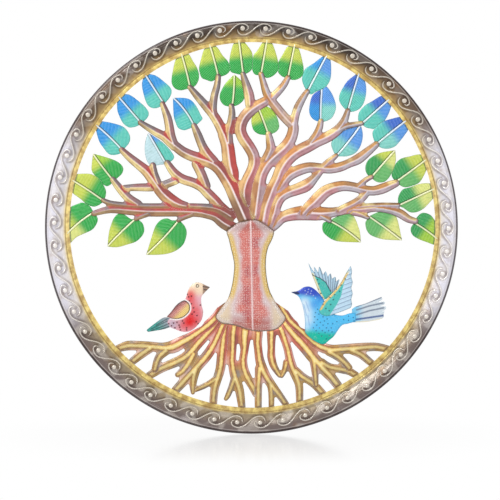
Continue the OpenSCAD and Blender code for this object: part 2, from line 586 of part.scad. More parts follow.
rim();
trunk();
for (i = [0:len(limbs) - 1])
  limb(i);
for (i = [0:len(roots) - 1])
  root(i);
for (i = [0:len(leaves) - 1])
  leaf(i);
red_bird_body();
red_bird_wing();
red_bird_tail();
blue_bird_body();
blue_bird_near_wing();
blue_bird_far_wing();
blue_bird_tail();
hanger_strap();
hanger_ring();
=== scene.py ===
import json
import math

import bpy
import numpy as np
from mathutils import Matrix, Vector


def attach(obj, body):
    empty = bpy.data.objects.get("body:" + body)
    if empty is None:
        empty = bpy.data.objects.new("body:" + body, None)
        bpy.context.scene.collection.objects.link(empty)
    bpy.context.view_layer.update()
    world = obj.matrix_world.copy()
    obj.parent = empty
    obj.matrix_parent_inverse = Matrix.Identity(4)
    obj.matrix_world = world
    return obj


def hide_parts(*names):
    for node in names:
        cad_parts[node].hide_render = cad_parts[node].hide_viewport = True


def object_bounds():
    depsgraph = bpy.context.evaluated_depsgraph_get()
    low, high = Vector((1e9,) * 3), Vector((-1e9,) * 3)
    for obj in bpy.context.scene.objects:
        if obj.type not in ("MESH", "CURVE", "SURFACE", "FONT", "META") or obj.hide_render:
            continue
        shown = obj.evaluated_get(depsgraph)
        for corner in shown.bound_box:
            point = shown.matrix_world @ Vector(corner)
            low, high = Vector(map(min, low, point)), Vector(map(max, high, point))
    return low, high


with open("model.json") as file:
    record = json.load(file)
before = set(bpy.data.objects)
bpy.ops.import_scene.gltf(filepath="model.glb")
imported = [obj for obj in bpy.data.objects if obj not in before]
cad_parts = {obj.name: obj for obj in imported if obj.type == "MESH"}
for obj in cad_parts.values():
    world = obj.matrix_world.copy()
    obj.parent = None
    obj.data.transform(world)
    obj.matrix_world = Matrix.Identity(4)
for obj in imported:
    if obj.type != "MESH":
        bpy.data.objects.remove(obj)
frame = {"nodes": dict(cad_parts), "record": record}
cadLow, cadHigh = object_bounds()
print("frame loaded:", len(frame["nodes"]), "sheets and fittings")

# Shapes are worked out in millimetres: x to the right, z up, and height forward of the tree's plane.
mm = 0.001


# ---- numbers and colours

def step(low, high, x):  # 0 below low, 1 above high, smooth between
    t = np.clip((x - low) / (high - low), 0, 1)
    return t * t * (3 - 2 * t)


def rgb(red, green, blue):  # a paint swatch, 0 to 255 as mixed on a screen, made linear
    c = np.array([red, green, blue]) / 255
    return np.where(c < 0.04045, c / 12.92, ((c + 0.055) / 1.055) ** 2.4)


def blend(a, b, share):  # colours a to b, by a share at each point
    return a + (b - a) * np.asarray(share)[..., None]


def airbrush(paint, at, spots):  # each spot is (x, z, reach, colour, strength), soft as a bell curve
    for x, z, reach, colour, strength in spots:
        cover = strength * np.exp(-((at[:, 0] - x) ** 2 + (at[:, 1] - z) ** 2) / reach ** 2)
        paint = blend(paint, colour, cover)
    return paint


# ---- outlines of the sheets

def trianglesOf(name):  # a node's loose triangles, three corners each
    mesh = frame["nodes"][name].data
    mesh.calc_loop_triangles()
    corners = np.empty(len(mesh.loop_triangles) * 3, np.int32)
    mesh.loop_triangles.foreach_get("vertices", corners)
    points = np.empty(len(mesh.vertices) * 3, np.float32)
    mesh.vertices.foreach_get("co", points)
    return points.reshape(-1, 3)[corners].reshape(-1, 3, 3) / mm


def outline(name, height):  # edges that an odd number of triangles have, among those flat at this height
    triangles = trianglesOf(name)
    flat = triangles[np.abs(triangles[:, :, 1] + height).max(1) < 0.02][:, :, [0, 2]]
    keys, index = np.unique(np.round(flat.reshape(-1, 2) * 100).astype(int), axis=0, return_inverse=True)
    ends = index.reshape(-1, 3)
    edges = np.sort(np.concatenate([ends[:, [0, 1]], ends[:, [1, 2]], ends[:, [2, 0]]]), 1)
    edges = edges[edges[:, 0] != edges[:, 1]]
    pairs, count = np.unique(edges, axis=0, return_counts=True)
    return keys[pairs[count % 2 == 1]] / 100


def spread(points):  # width plus height of the box round the points
    return np.ptp(np.array(points), 0).sum() if points else 0


def outerLoop(edges):  # the chain of edges that spreads widest, without the inner edge of a stepped sheet
    nextTo = {}
    for a, b in np.round(edges * 100).astype(int).tolist():
        nextTo.setdefault(tuple(a), []).append(tuple(b))
        nextTo.setdefault(tuple(b), []).append(tuple(a))
    best, left = [], set(nextTo)
    while left:
        here, chain = min(left), []
        while here is not None:
            chain.append(here)
            left.discard(here)
            here = next((n for n in nextTo[here] if n in left), None)
        if len(chain) > 2 and spread(chain) > spread(best):
            best = chain
    ring = np.array(best) / 100
    return np.stack([ring, np.roll(ring, -1, 0)], 1)


def legsOf(points):  # the straight legs from each point to the next
    line = np.array(points, float)
    return np.stack([line[:-1], line[1:]], 1)


def nearest(at, edges):
    # distance to the closest edge, and the foot there: the share along each edge where the way to it is
    # square, held between its two ends
    gap, foot = np.full(len(at), 1e9), np.array(at, float)
    for part in np.array_split(edges, len(edges) // 48 + 1):
        start, along = part[:, 0], part[:, 1] - part[:, 0]
        away = at[:, None] - start
        share = np.clip((away * along).sum(2) / np.maximum((along ** 2).sum(1), 1e-9), 0, 1)
        feet = start + share[..., None] * along
        far = ((at[:, None] - feet) ** 2).sum(2)
        pick = far.argmin(1)
        rows = np.arange(len(at))
        closer = far[rows, pick] < gap ** 2
        gap = np.where(closer, np.sqrt(far[rows, pick]), gap)
        foot[closer] = feet[rows, pick][closer]
    return gap, foot


def inside(at, edges):  # a line to the left crosses the outline an odd number of times
    odd = np.zeros(len(at), bool)
    for (ax, az), (bx, bz) in edges:
        if az != bz:
            level = (az > at[:, 1]) != (bz > at[:, 1])
            odd ^= level & (at[:, 0] > ax + (at[:, 1] - az) * (bx - ax) / (bz - az))
    return odd


def near(edges, at, reach, sideways=True):  # edges within reach of the points' box, or just of its heights
    low, high = at.min(0) - reach, at.max(0) + reach
    touch = (edges.max(1) > low) & (edges.min(1) < high)
    return edges[touch.all(1) if sideways else touch[:, 1]]


def mottle(at, size, seed):  # smooth uneven patches from -1 to 1: a sum of waves in many directions
    turn = np.arange(7) * 2.4 + seed
    across = at @ np.stack([np.cos(turn), np.sin(turn)])
    waves = np.sin(across * (2 * math.pi / size) * (0.6 + 0.13 * np.arange(7)) + 5 * turn)
    return np.clip(waves.sum(1) / 2.6, -1, 1)


# ---- a sheet: a grid of squares inside an outline, its rim drawn to the outline

def gridIn(edges, size):
    # a square grid kept to just past the outline, with its rim moved to the outline's nearest point;
    # returns the points, the squares, and how deep each point lies inside the outline
    low, high = edges.min((0, 1)) - size, edges.max((0, 1)) + 2 * size
    xs, zs = np.arange(low[0], high[0], size), np.arange(low[1], high[1], size)
    at = np.stack(np.meshgrid(xs, zs, indexing="ij"), -1).reshape(-1, 2)
    far, foot = nearest(at, edges)
    depth = np.where(inside(at, edges), far, -far)
    keep = (depth > -0.45 * size).reshape(len(xs), len(zs))
    number = np.arange(len(at)).reshape(len(xs), len(zs))
    whole = keep[:-1, :-1] & keep[1:, :-1] & keep[1:, 1:] & keep[:-1, 1:]
    squares = np.stack([number[:-1, :-1], number[1:, :-1], number[1:, 1:], number[:-1, 1:]], -1)[whole]
    used, squares = np.unique(squares, return_inverse=True)
    squares = squares.reshape(-1, 4)
    at, foot, depth = at[used], foot[used], np.maximum(depth[used], 0)
    brink = np.unique(rimEdges(squares))
    at[brink], depth[brink] = foot[brink], 0
    return at, squares, depth


def rimEdges(squares):  # directed sides of squares that no second square shares
    sides = np.concatenate([squares[:, [k, (k + 1) % 4]] for k in range(4)])
    _, index, count = np.unique(np.sort(sides, 1), axis=0, return_index=True, return_counts=True)
    return sides[index[count == 1]]


def makeMesh(name, points, faces, finishes, which=None, smoothTo=50, **marks):
    # points in metres; faces is one array, or a list of arrays that each keep to one number of corners;
    # which says each face's finish, and marks become attributes of the points
    groups = [f for f in (faces if isinstance(faces, list) else [faces]) if len(f)]
    mesh = bpy.data.meshes.new(name)
    mesh.vertices.add(len(points))
    mesh.vertices.foreach_set("co", np.asarray(points, np.float32).ravel())
    corners = np.concatenate([f.ravel() for f in groups])
    counts = np.concatenate([np.full(len(f), f.shape[1]) for f in groups])
    mesh.loops.add(len(corners))
    mesh.loops.foreach_set("vertex_index", corners.astype(np.int32))
    mesh.polygons.add(len(counts))
    mesh.polygons.foreach_set("loop_start", (np.cumsum(counts) - counts).astype(np.int32))
    if which is not None:
        mesh.polygons.foreach_set("material_index", np.asarray(which, np.int32))
    mesh.polygons.foreach_set("use_smooth", np.ones(len(counts), bool))
    for finish in finishes:
        mesh.materials.append(finish)
    for key, values in marks.items():
        values = np.asarray(values, np.float32)
        if values.ndim == 2:
            layer = mesh.attributes.new(key, "FLOAT_COLOR", "POINT")
            rgba = np.column_stack([values, np.ones(len(values))]).astype(np.float32)
            layer.data.foreach_set("color", rgba.ravel())
        else:
            mesh.attributes.new(key, "FLOAT", "POINT").data.foreach_set("value", values)
    mesh.update(calc_edges=True)
    mesh.validate()
    mesh.set_sharp_from_angle(angle=math.radians(smoothTo))
    piece = bpy.data.objects.new(name, mesh)
    bpy.context.scene.collection.objects.link(piece)
    return piece


def pressedSheet(node, at, squares, height, thick, lowest, finish, slot, **marks):
    # front at height, back the same relief one thickness behind but not behind lowest, and walls round
    # the rim
    behind = np.maximum(height - thick, lowest)
    n = len(at)
    front = np.column_stack([at[:, 0], -height, at[:, 1]])
    back = np.column_stack([at[:, 0], -behind, at[:, 1]])
    side = rimEdges(squares)
    wall = np.column_stack([side[:, 1], side[:, 0], side[:, 0] + n, side[:, 1] + n])
    faces = np.concatenate([squares, squares[:, ::-1] + n, wall])
    which = np.repeat([0, 1, 1], [len(squares), len(squares), len(wall)])
    marks = {key: np.concatenate([value, value]) for key, value in marks.items()}
    points = np.concatenate([front, back]) * mm
    piece = makeMesh(node + "_sheet", points, faces, [finish, bareBack], which, **marks)
    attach(piece, "panel")
    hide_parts(node)


# ---- finishes

class Signal:  # a socket that takes part in arithmetic, adding Math nodes
    def __init__(self, finish, socket):
        self.finish, self.socket = finish, socket

    def maths(self, operation, first, second=0.0):
        return self.finish.add("ShaderNodeMath", {"operation": operation}, {0: first, 1: second})

    def __add__(self, other):
        return self.maths("ADD", self, other)

    def __sub__(self, other):
        return self.maths("SUBTRACT", self, other)

    def __mul__(self, other):
        return self.maths("MULTIPLY", self, other)

    def __rsub__(self, other):
        return self.maths("SUBTRACT", other, self)

    def __neg__(self):
        return self.maths("MULTIPLY", self, -1.0)

    __radd__, __rmul__ = __add__, __mul__

    def size(self):
        return self.maths("ABSOLUTE", self)

    def wave(self):
        return self.maths("SINE", self)

    def between(self, low, high):  # 0 below low, 1 above high, smooth between
        return self.finish.add("ShaderNodeMapRange", {"interpolation_type": "SMOOTHSTEP"},
                               {"Value": self, "From Min": low, "From Max": high})


class Finish:  # a material, or the world, under construction
    def __init__(self, name, world=None):
        self.material = world or bpy.data.materials.new(name)
        self.material.use_nodes = True
        self.tree = self.material.node_tree
        self.tree.nodes.clear()
        self.places = None

    def add(self, kind, settings=None, values=None, output=0):  # one node, and the socket that it gives
        node = self.tree.nodes.new(kind)
        for key, value in (settings or {}).items():
            setattr(node, key, value)
        for key, value in (values or {}).items():
            if isinstance(value, Signal):
                self.tree.links.new(value.socket, node.inputs[key])
            else:
                node.inputs[key].default_value = value
        return Signal(self, node.outputs[output]) if len(node.outputs) else None

    def mark(self, name, output="Fac"):  # what the mesh holds at each point
        return self.add("ShaderNodeAttribute", {"attribute_name": name}, output=output)

    def place(self):
        if self.places is None:
            self.places = self.add("ShaderNodeTexCoord", output="Object")
        return self.places

    def noise(self, scale, detail=3.0, roughness=0.55):
        return self.add("ShaderNodeTexNoise", values={
            "Vector": self.place(), "Scale": scale, "Detail": detail, "Roughness": roughness})

    def cells(self, scale, randomness=1.0):
        return self.add("ShaderNodeTexVoronoi", output="Distance", values={
            "Vector": self.place(), "Scale": scale, "Randomness": randomness})

    def mix(self, share, first, second, way="MIX"):
        def colour(value):
            return value if isinstance(value, Signal) else (*value, 1.0)
        return self.add("ShaderNodeMix", {"data_type": "RGBA", "blend_type": way},
                        {0: share, 6: colour(first), 7: colour(second)}, 2)

    def bump(self, height, distance, strength=1.0):
        return self.add("ShaderNodeBump", values={
            "Height": height, "Distance": distance, "Strength": strength})

    def done(self, colour, rough, bump, metal, coat=0.0, sheen=0.5):
        shader = self.add("ShaderNodeBsdfPrincipled", values={
            "Base Color": colour, "Roughness": rough, "Normal": bump, "Metallic": metal,
            "Specular IOR Level": sheen, "Coat Weight": coat, "Coat Roughness": 0.12})
        self.add("ShaderNodeOutputMaterial", values={"Surface": shader})
        return self.material


def steelBackFinish():
    # two steel greys mixed by a broad noise, with dark specks where a fine noise is high
    f = Finish("bare_steel_back")
    stain = f.noise(38.0, 5.0)
    fine = f.noise(420.0, 2.0)
    colour = f.mix(stain.between(0.35, 0.7), rgb(96, 90, 84), rgb(132, 118, 100))
    colour = f.mix(fine.between(0.55, 0.75) * 0.4, colour, rgb(70, 62, 56))
    return f.done(colour, 0.38 + 0.25 * stain, f.bump(fine, 0.0002, 0.4), metal=0.75, coat=0.15)


bareBack = steelBackFinish()


def chasedFinish(name, look):
    # the sheet's own paint, darkened in patches; then a painted highlight on the crest, pale or gold, dark
    # lines where the distance from it is lineAt, and a painted shade line along the free edge, where it turns
    # down
    f = Finish(name)
    patchy, fine = f.noise(130.0, 4.0), f.noise(900.0, 2.0)
    colour = f.mix(patchy.between(0.42, 0.72) * look["patchy"], f.mark("paint", "Color"), look["shade"],
                   "MULTIPLY")
    crest, edge = f.mark("crest"), f.mark("rim")
    beside = (crest - look["lineAt"]).size()
    line = (1 - beside.between(0.25, look["lineWidth"])) * look["lineStrength"] * patchy.between(0.2, 0.6)
    colour = f.mix(line, colour, look["lineColour"])
    # painted highlight: the top of each crest mixed toward a pale colour
    top = (1 - crest.between(look["crestFrom"], look["crestTo"])) * look["crestHighlightStrength"]
    colour = f.mix(top * (0.55 + patchy * 0.75), colour, look["crestHighlightColour"])
    # painted shade: a dark line along the free edge, where the sheet turns down
    brink = (1 - edge.between(0.35, look["edgeShadeWidth"])) * look["edgeShadeStrength"] * (0.35 + patchy)
    colour = f.mix(brink, colour, look["edgeShadeColour"])
    relief = patchy * 0.6 + fine * 0.4
    return f.done(colour, 0.34 + 0.2 * patchy, f.bump(relief, 0.0004, look["hammer"]), 0.25, 0.12, 0.3)


# the crest colours are painted highlights along the tops of the ridges
limbLook = dict(
    patchy=0.45, shade=(0.72, 0.66, 0.62), hammer=0.6,
    crestFrom=-1.9, crestTo=0.0, crestHighlightStrength=0.95, crestHighlightColour=rgb(246, 232, 234),
    lineAt=1.3, lineWidth=1.3, lineStrength=0.35, lineColour=rgb(112, 76, 72),
    # the edge colour is painted shade along the free edges, where they turn down
    edgeShadeWidth=1.3, edgeShadeStrength=0.75, edgeShadeColour=rgb(84, 62, 48))
rootLook = dict(
    patchy=0.5, shade=(0.7, 0.62, 0.55), hammer=0.7,
    crestFrom=-3.4, crestTo=-0.9, crestHighlightStrength=0.75, crestHighlightColour=rgb(250, 236, 176),
    lineAt=0.8, lineWidth=1.0, lineStrength=0.6, lineColour=rgb(110, 68, 44),
    # the edge colour is painted shade along the free edges, where they turn down
    edgeShadeWidth=1.3, edgeShadeStrength=0.65, edgeShadeColour=rgb(100, 70, 50))
limbFinish = chasedFinish("limb_paint", limbLook)
rootFinish = chasedFinish("root_paint", rootLook)


# ---- limbs and roots

tree = {
    "grid": 0.85,           # size of the squares
    "crestHeight": 3.0,     # forward of the tree's plane, on top of a ridge
    "slope": 0.27,          # fall per millimetre away from a ridge
    "lowest": 0.95,         # front of the flattest parts
    "edgeRoll": 0.45,       # how far a free edge turns down
    "thick": 1.1,
    "tuckFrom": -108,       # above this height the outer roots lie wholly behind the trunk's edge
    "tuckTo": -150,         # below this one they are left as they are
    "tuckSlope": 0.6,       # how fast they come out between the two
    "tuckBeside": 30,       # only this far from the middle
}

limbNames = [n for n in frame["nodes"] if n.endswith("_limb")]
rootNames = [n for n in frame["nodes"] if n.startswith("root_")]
trunkEdge = outerLoop(outline("trunk", 1.2))
redEdge = outerLoop(outline("red_bird_body", 1.2))
blueEdge = outerLoop(outline("blue_bird_body", 1.2))
coverEdge = np.concatenate([trunkEdge, redEdge, blueEdge])
sheetEdges = {n: outline(n, 0.0) for n in limbNames + rootNames}


def besideTrunk(at):  # 1 along the outside of the trunk's lower edge, fading out at 7 mm and below z -112
    return step(7.0, 4.5, nearest(at, trunkEdge)[0]) * step(-112, -100, at[:, 1])


def limbPaint(at, crest, edge, lean):
    # gold where the flank leans left (and down on the left side, up on the right side), mauve where it
    # leans the other way, red in the forks; crest and edge are distances from the ridge and from the
    # free edge
    left = step(25, -25, at[:, 0])
    reach = np.hypot(at[:, 0], at[:, 1] - 20)
    patch, fleck = mottle(at, 52, 1.0), mottle(at, 33, 2.0)
    gold = blend(rgb(204, 152, 88), rgb(240, 212, 150), left)
    gold = blend(gold, rgb(152, 126, 98), step(-0.3, 1.0, patch) * 0.7)
    gold = blend(gold, rgb(246, 228, 160), step(-0.2, 0.9, -fleck) * 0.75)
    gold = blend(gold, rgb(116, 86, 62), step(3.4, 0.8, edge) * 0.6 * step(-1.0, 0.4, fleck))
    mauve = blend(rgb(206, 166, 176), rgb(158, 124, 128), left)
    grey = blend(rgb(196, 192, 202), rgb(132, 124, 128), left)
    lowLimb = left * step(34, 24, at[:, 1] + 0.04 * at[:, 0])
    gold = blend(gold, rgb(142, 108, 84), lowLimb * 0.75)
    mauve = blend(mauve, grey, step(-0.5, 0.9, fleck + step(50, 190, reach) - 0.1))
    mauve = blend(mauve, rgb(88, 72, 72), step(3.4, 0.6, edge) * 0.65)
    fork = step(4.6, 8.0, crest + edge)
    red = blend(rgb(190, 96, 92), rgb(192, 62, 54), left)
    red = blend(red, rgb(120, 76, 74), step(-0.1, 1.0, patch) * 0.5)
    mauve = blend(mauve, red, np.clip(fork + 0.3 * step(0.0, 0.8, -patch), 0, 1) * (0.42 + 0.43 * left))
    gold = blend(gold, rgb(186, 98, 52), fork * 0.4)
    paint = blend(mauve, gold, step(-0.3, 0.3, lean))
    # smoke at the left of the trunk's top
    smoke = step(60, 34, np.hypot(at[:, 0] * 0.8, at[:, 1] - 4)) * step(-6, 6, -at[:, 0])
    return blend(paint, rgb(96, 84, 78), smoke * 0.5)


def rootPaint(at, crest, edge, lean):
    # red flanks near the trunk that turn to gold and grey as the distance from its foot grows, and gold
    # ridges, paler along their middles and browner towards their sides as painted highlight and shade
    reach = np.hypot(at[:, 0] * 0.7, at[:, 1] + 118)
    patch = mottle(at, 38, 4.0)
    red = blend(rgb(200, 106, 88), rgb(166, 94, 86), step(-0.4, 1.0, patch))
    outer = blend(rgb(172, 140, 86), rgb(150, 138, 124), step(-0.4, 0.9, mottle(at, 23, 3.0)))
    flank = blend(red, outer, step(66, 112, reach + 12 * patch))
    flank = blend(flank, rgb(232, 196, 188), step(-0.1, 0.9, -patch) * step(1.0, 3.6, crest) * 0.7)
    flank = blend(flank, rgb(214, 156, 94), step(0.2, 0.9, lean) * 0.4)
    # painted highlight and shade: each ridge paler along its middle and browner towards its sides
    ridge = blend(rgb(242, 212, 128), rgb(206, 152, 84), step(-1.6, 0.1, crest + 0.5 * mottle(at, 6, 5.0)))
    ridge = blend(ridge, rgb(176, 160, 112), step(80, 130, reach + 14 * mottle(at, 19, 7.0)) * 0.6)
    flank = blend(flank, ridge, step(0.5, -0.3, crest))
    return blend(flank, rgb(240, 214, 126), besideTrunk(at))


def treeSheets(names, paintOf, finish, slot):
    # height falls in proportion to the distance from the ridge, down to the lowest, and rolls off at a
    # free edge; under the trunk and the birds it stays behind their sheets
    pads = np.concatenate([outline(n, 2.6) for n in names])
    isRoot = slot == "root_paint"
    for n in names:
        own = sheetEdges[n]
        at, squares, _ = gridIn(own, tree["grid"])
        if isRoot:   # draws in what would stick out beside the trunk
            far, foot = nearest(at, trunkEdge)
            reach = 0.05 + tree["tuckSlope"] * np.maximum(tree["tuckFrom"] - at[:, 1], 0)
            beside = (at[:, 1] > tree["tuckTo"]) & (np.abs(at[:, 0]) > tree["tuckBeside"])
            out = ~inside(at, trunkEdge) & (far > reach) & beside
            at[out] = (foot + (at - foot) * (reach / np.maximum(far, 1e-6))[:, None])[out]
        crest, foot = nearest(at, near(pads, at, 25))
        onRidge = inside(at, near(pads, at, 1, False))
        away = np.where(onRidge, -1.0, 1.0)[:, None] * (at - foot) / np.maximum(crest, 1e-6)[:, None]
        crest = np.where(onRidge, -crest, crest)
        left = np.clip(at[:, 0] / 22, -1, 1)
        goldWay = np.column_stack([-np.ones(len(at)), left]) / np.sqrt(1 + left ** 2)[:, None]
        lean = (away * goldWay).sum(1)
        # an edge counts as free where no other sheet starts just beyond it
        others = near(np.concatenate([sheetEdges[m] for m in sheetEdges if m != n]), at, 2)
        free = own[nearest(own.mean(1), others)[0] > 0.35] if len(others) else own
        edge = nearest(at, free)[0]
        height = np.maximum(tree["crestHeight"] - tree["slope"] * np.maximum(crest, -1.5), tree["lowest"])
        height = height - tree["edgeRoll"] * np.exp(-edge / 0.8)
        under = inside(at, trunkEdge) | inside(at, redEdge) | inside(at, blueEdge)
        clear = nearest(at, coverEdge)[0] * np.where(under, -1, 1)
        height = np.minimum(height, 1.1 + 0.75 * np.maximum(clear - 0.3, 0))
        if isRoot:   # no ridge shows beside the trunk
            crest = crest + 6 * besideTrunk(at)
        pressedSheet(n, at, squares, height, tree["thick"], 0.0, finish, slot,
                     paint=paintOf(at, crest, edge, lean), crest=crest, rim=edge)


treeSheets(limbNames, limbPaint, limbFinish, "limb_paint")
treeSheets(rootNames, rootPaint, rootFinish, "root_paint")
print("limbs and roots chased:", len(limbNames) + len(rootNames))


# ---- trunk

trunk = {
    "grid": 0.7,           # size of the squares
    "edge": 2.3,           # front at the outline
    "crown": 4.4,          # rise from there to the middle
    "reach": 19.0,         # distance over which it rises
    "ridge": 0.5,          # height of the line down the middle
    "punch": 400.0,        # punched scales per metre
}


def trunkFinish():
    # punched scales: staggered domes with pale tops and dark rings, the tops a painted highlight and the
    # rings painted shade, in colours that run from red to white and gold
    f = Finish("trunk_paint")
    dome = f.cells(trunk["punch"], randomness=0.35)
    pale = 1 - dome.between(0.18, 0.5)
    patchy = f.noise(60.0, 3.0)
    paint = f.mark("paint", "Color")
    # painted shade in the rings between the punched domes and painted highlight on their tops
    ring, top = f.mix(0.6, paint, (0.62, 0.46, 0.44), "MULTIPLY"), f.mix(0.42, paint, rgb(255, 246, 242))
    colour = f.mix(pale * 0.85, ring, top)
    ridge = f.mark("ridge")
    # painted highlight along the raised line down the middle
    colour = f.mix((1 - ridge.size().between(0.6, 1.6)) * 0.7, colour, rgb(246, 224, 224))
    edge = f.mark("rim")
    colour = f.mix((1 - edge.between(0.5, 1.7)) * 0.85, colour, rgb(92, 78, 48))
    return f.done(colour, 0.4 + 0.15 * patchy, f.bump(pale, 0.0006, 0.8), 0.15, 0.1, 0.3)


def makeTrunk():
    # height rises from the outline as a quarter circle over the reach, with a narrow ridge down the
    # middle; the edge turns down, more so at the foot
    at, squares, depth = gridIn(trunkEdge, trunk["grid"])
    x, z = at.T
    share = np.clip(depth / trunk["reach"], 0, 1)
    middle = x + 1.0 + 0.02 * z
    ridge = trunk["ridge"] * np.exp(-(middle / 1.2) ** 2)
    height = trunk["edge"] + trunk["crown"] * np.sqrt(1 - (1 - share) ** 2) + ridge
    lower, foot = step(-112, -125, z), step(-112, -140, z)
    height -= (0.5 + 1.0 * lower) * np.exp(-depth / 0.8) + 2.4 * foot * (1 - share)
    patch = mottle(at, 30, 6.0)
    sideways = np.abs(middle) / np.maximum(np.abs(middle) + depth, 1)
    centre = blend(rgb(230, 134, 124), rgb(206, 106, 106), step(-0.2, 0.9, patch))
    paint = blend(centre, rgb(238, 226, 228), step(0.36, 0.66, sideways + 0.07 * patch))
    paint = blend(paint, rgb(246, 236, 196), step(24, 36, np.abs(x)) * step(-96, -110, z) * 0.8)
    paint = blend(paint, rgb(244, 218, 126), step(10.5, 4.5, depth) * step(-116, -98, z) * step(-2, -14, z))
    paint = blend(paint, rgb(240, 238, 236), step(7.5, 4.0, depth) * step(-96, -110, z) * 0.6)
    paint = blend(paint, rgb(232, 158, 152), step(5, 1.5, np.abs(middle)) * 0.6)
    paint = blend(paint, rgb(196, 108, 98), step(-124, -140, z) * step(34, 22, np.abs(x)) * 0.8)
    paint = blend(paint, rgb(146, 96, 92), step(-10, 0, z) * 0.45)
    pressedSheet("trunk", at, squares, height, 1.2, 1.2, trunkFinish(), "trunk_paint",
                 paint=paint, rim=depth + 9 * step(-100, -112, z), ridge=middle)


makeTrunk()
print("trunk punched")


# ---- rim's numbers, which the leaves need too

rim = {
    "radius": 299.7,        # of the rolled outer edge
    "opening": 265.4,       # radius of the opening
    "shift": 1.5,           # the opening's centre to the right of the rim's
    "rise": 3.5,            # and above it
    "around": 1080,         # sections
    "waves": 54,            # scrolls, and as many beads
    "beadRadius": 286.3,    # circle that the beads stand on
    "beadRise": 2.3,        # that circle's centre above the rim's
    "firstBead": -0.8,      # degrees from the right
    "bead": 3.6,            # radius of a bead
    "line": 1.15,           # half the width of a scroll's raised line
    "front": 7.98,          # from the middle plane to the wall
    "flange": 291.0,        # inner radius of the return flange
    "notchLip": 298.4,      # and where it is cut away for the hanger
    "notchHalf": 14.2,      # half the width of that notch
    "groove": 0.185,        # share of the rim's width where its groove runs
}


def openingAt(turn):  # distance from the rim's centre to the edge of the opening
    toward = rim["shift"] * np.cos(turn) + rim["rise"] * np.sin(turn)
    aside = rim["rise"] * np.cos(turn) - rim["shift"] * np.sin(turn)
    return toward + np.sqrt(rim["opening"] ** 2 - aside ** 2)


# ---- leaves

leaf = {
    "grid": 0.75,          # size of the squares
    "lobe": 1.15,          # rise of each half
    "ribHeight": 0.55,     # rise of the midrib above them
    "ribHalf": 1.15,       # half the pale stripe
    "hatch": 3.0,          # spacing of the engraved lines, along the leaf
    "turnsOver": 15,       # from this leaf on, the strong line is on the other side of the midrib
}
lime, sun, paleSun = rgb(166, 208, 44), rgb(206, 216, 74), rgb(230, 232, 132)
grass, dusky, deep = rgb(0, 170, 62), rgb(96, 184, 98), rgb(14, 158, 74)
sky, royal, azure = rgb(0, 148, 232), rgb(34, 98, 210), rgb(76, 150, 236)
teal, mint, ice = rgb(86, 204, 190), rgb(128, 212, 204), rgb(196, 226, 236)
# tip colours left and right of the midrib as it points up, base colours, and where they change
paints = {name: (sun, sun, grass, grass, 0.5) for name in frame["nodes"] if name.startswith("leaf_")}
paints.update({
    "leaf_01": (paleSun, sun, grass, grass, 0.5), "leaf_02": (sun, sun, grass, grass, 0.48),
    "leaf_03": (sun, sun, grass, grass, 0.5), "leaf_04": (sun, sun, grass, grass, 0.55),
    "leaf_05": (sun, lime, grass, grass, 0.42), "leaf_06": (sky, sky, teal, teal, 0.55),
    "leaf_07": (sky, sky, teal, teal, 0.55), "leaf_08": (sky, sky, teal, teal, 0.55),
    "leaf_09": (sky, sky, teal, teal, 0.5), "leaf_10": (ice, azure, ice, teal, 0.35),
    "leaf_14": (lime, lime, grass, grass, 0.35), "leaf_17": (sun, lime, grass, dusky, 0.5),
    "leaf_18": (sky, azure, teal, teal, 0.45), "leaf_19": (royal, azure, sky, mint, 0.5),
    "leaf_20": (royal, azure, teal, teal, 0.5), "leaf_21": (royal, azure, teal, mint, 0.5),
    "leaf_22": (royal, azure, teal, teal, 0.48), "leaf_23": (azure, azure, mint, mint, 0.55),
    "leaf_24": (sun, paleSun, deep, dusky, 0.42), "leaf_25": (paleSun, paleSun, deep, dusky, 0.48),
    "leaf_26": (sun, sun, deep, dusky, 0.45), "leaf_27": (lime, lime, deep, deep, 0.6),
    "leaf_28": (paleSun, paleSun, dusky, dusky, 0.5), "leaf_29": (paleSun, sun, dusky, grass, 0.5),
})


def leafFinish(name, stripeColour):
    # a pale stripe between thin dark lines, and fine slanted lines engraved in both halves
    f = Finish(name)
    across, along, edge = f.mark("across"), f.mark("along"), f.mark("rim")
    fine = f.noise(260.0, 3.0)
    slant = ((along + across.size() * 1.1 + fine * 1.2) * (2 * math.pi / leaf["hatch"])).wave()
    half = across.size().between(leaf["ribHalf"] + 0.3, leaf["ribHalf"] + 1.6)
    engraved, shaded = slant.between(0.0, 0.9) * half, (-slant).between(0.2, 0.95) * half
    colour = f.mix(shaded * 0.5, f.mark("paint", "Color"), (0.5, 0.62, 0.56), "MULTIPLY")
    colour = f.mix(engraved * 0.2, colour, rgb(240, 255, 236))
    colour = f.mix(fine.between(0.48, 0.72) * 0.35, colour, (0.5, 0.66, 0.58), "MULTIPLY")
    strongLine = (across - leaf["ribHalf"] - 0.55).size()
    faintLine = (across + leaf["ribHalf"] + 0.5).size()
    colour = f.mix((1 - strongLine.between(0.45, 1.1)) * 0.85, colour, rgb(58, 66, 42))
    colour = f.mix((1 - faintLine.between(0.3, 0.9)) * 0.5, colour, rgb(80, 92, 60))
    stripe = 1 - across.size().between(leaf["ribHalf"] - 0.35, leaf["ribHalf"] + 0.3)
    colour = f.mix(stripe * 0.8, colour, stripeColour)
    colour = f.mix((1 - edge.between(0.2, 0.9)) * 0.4, colour, rgb(40, 72, 46))
    return f.done(colour, 0.36 + 0.12 * fine, f.bump(fine * 0.3 - engraved, 0.0003, 0.8), 0.2, 0.1, 0.25)


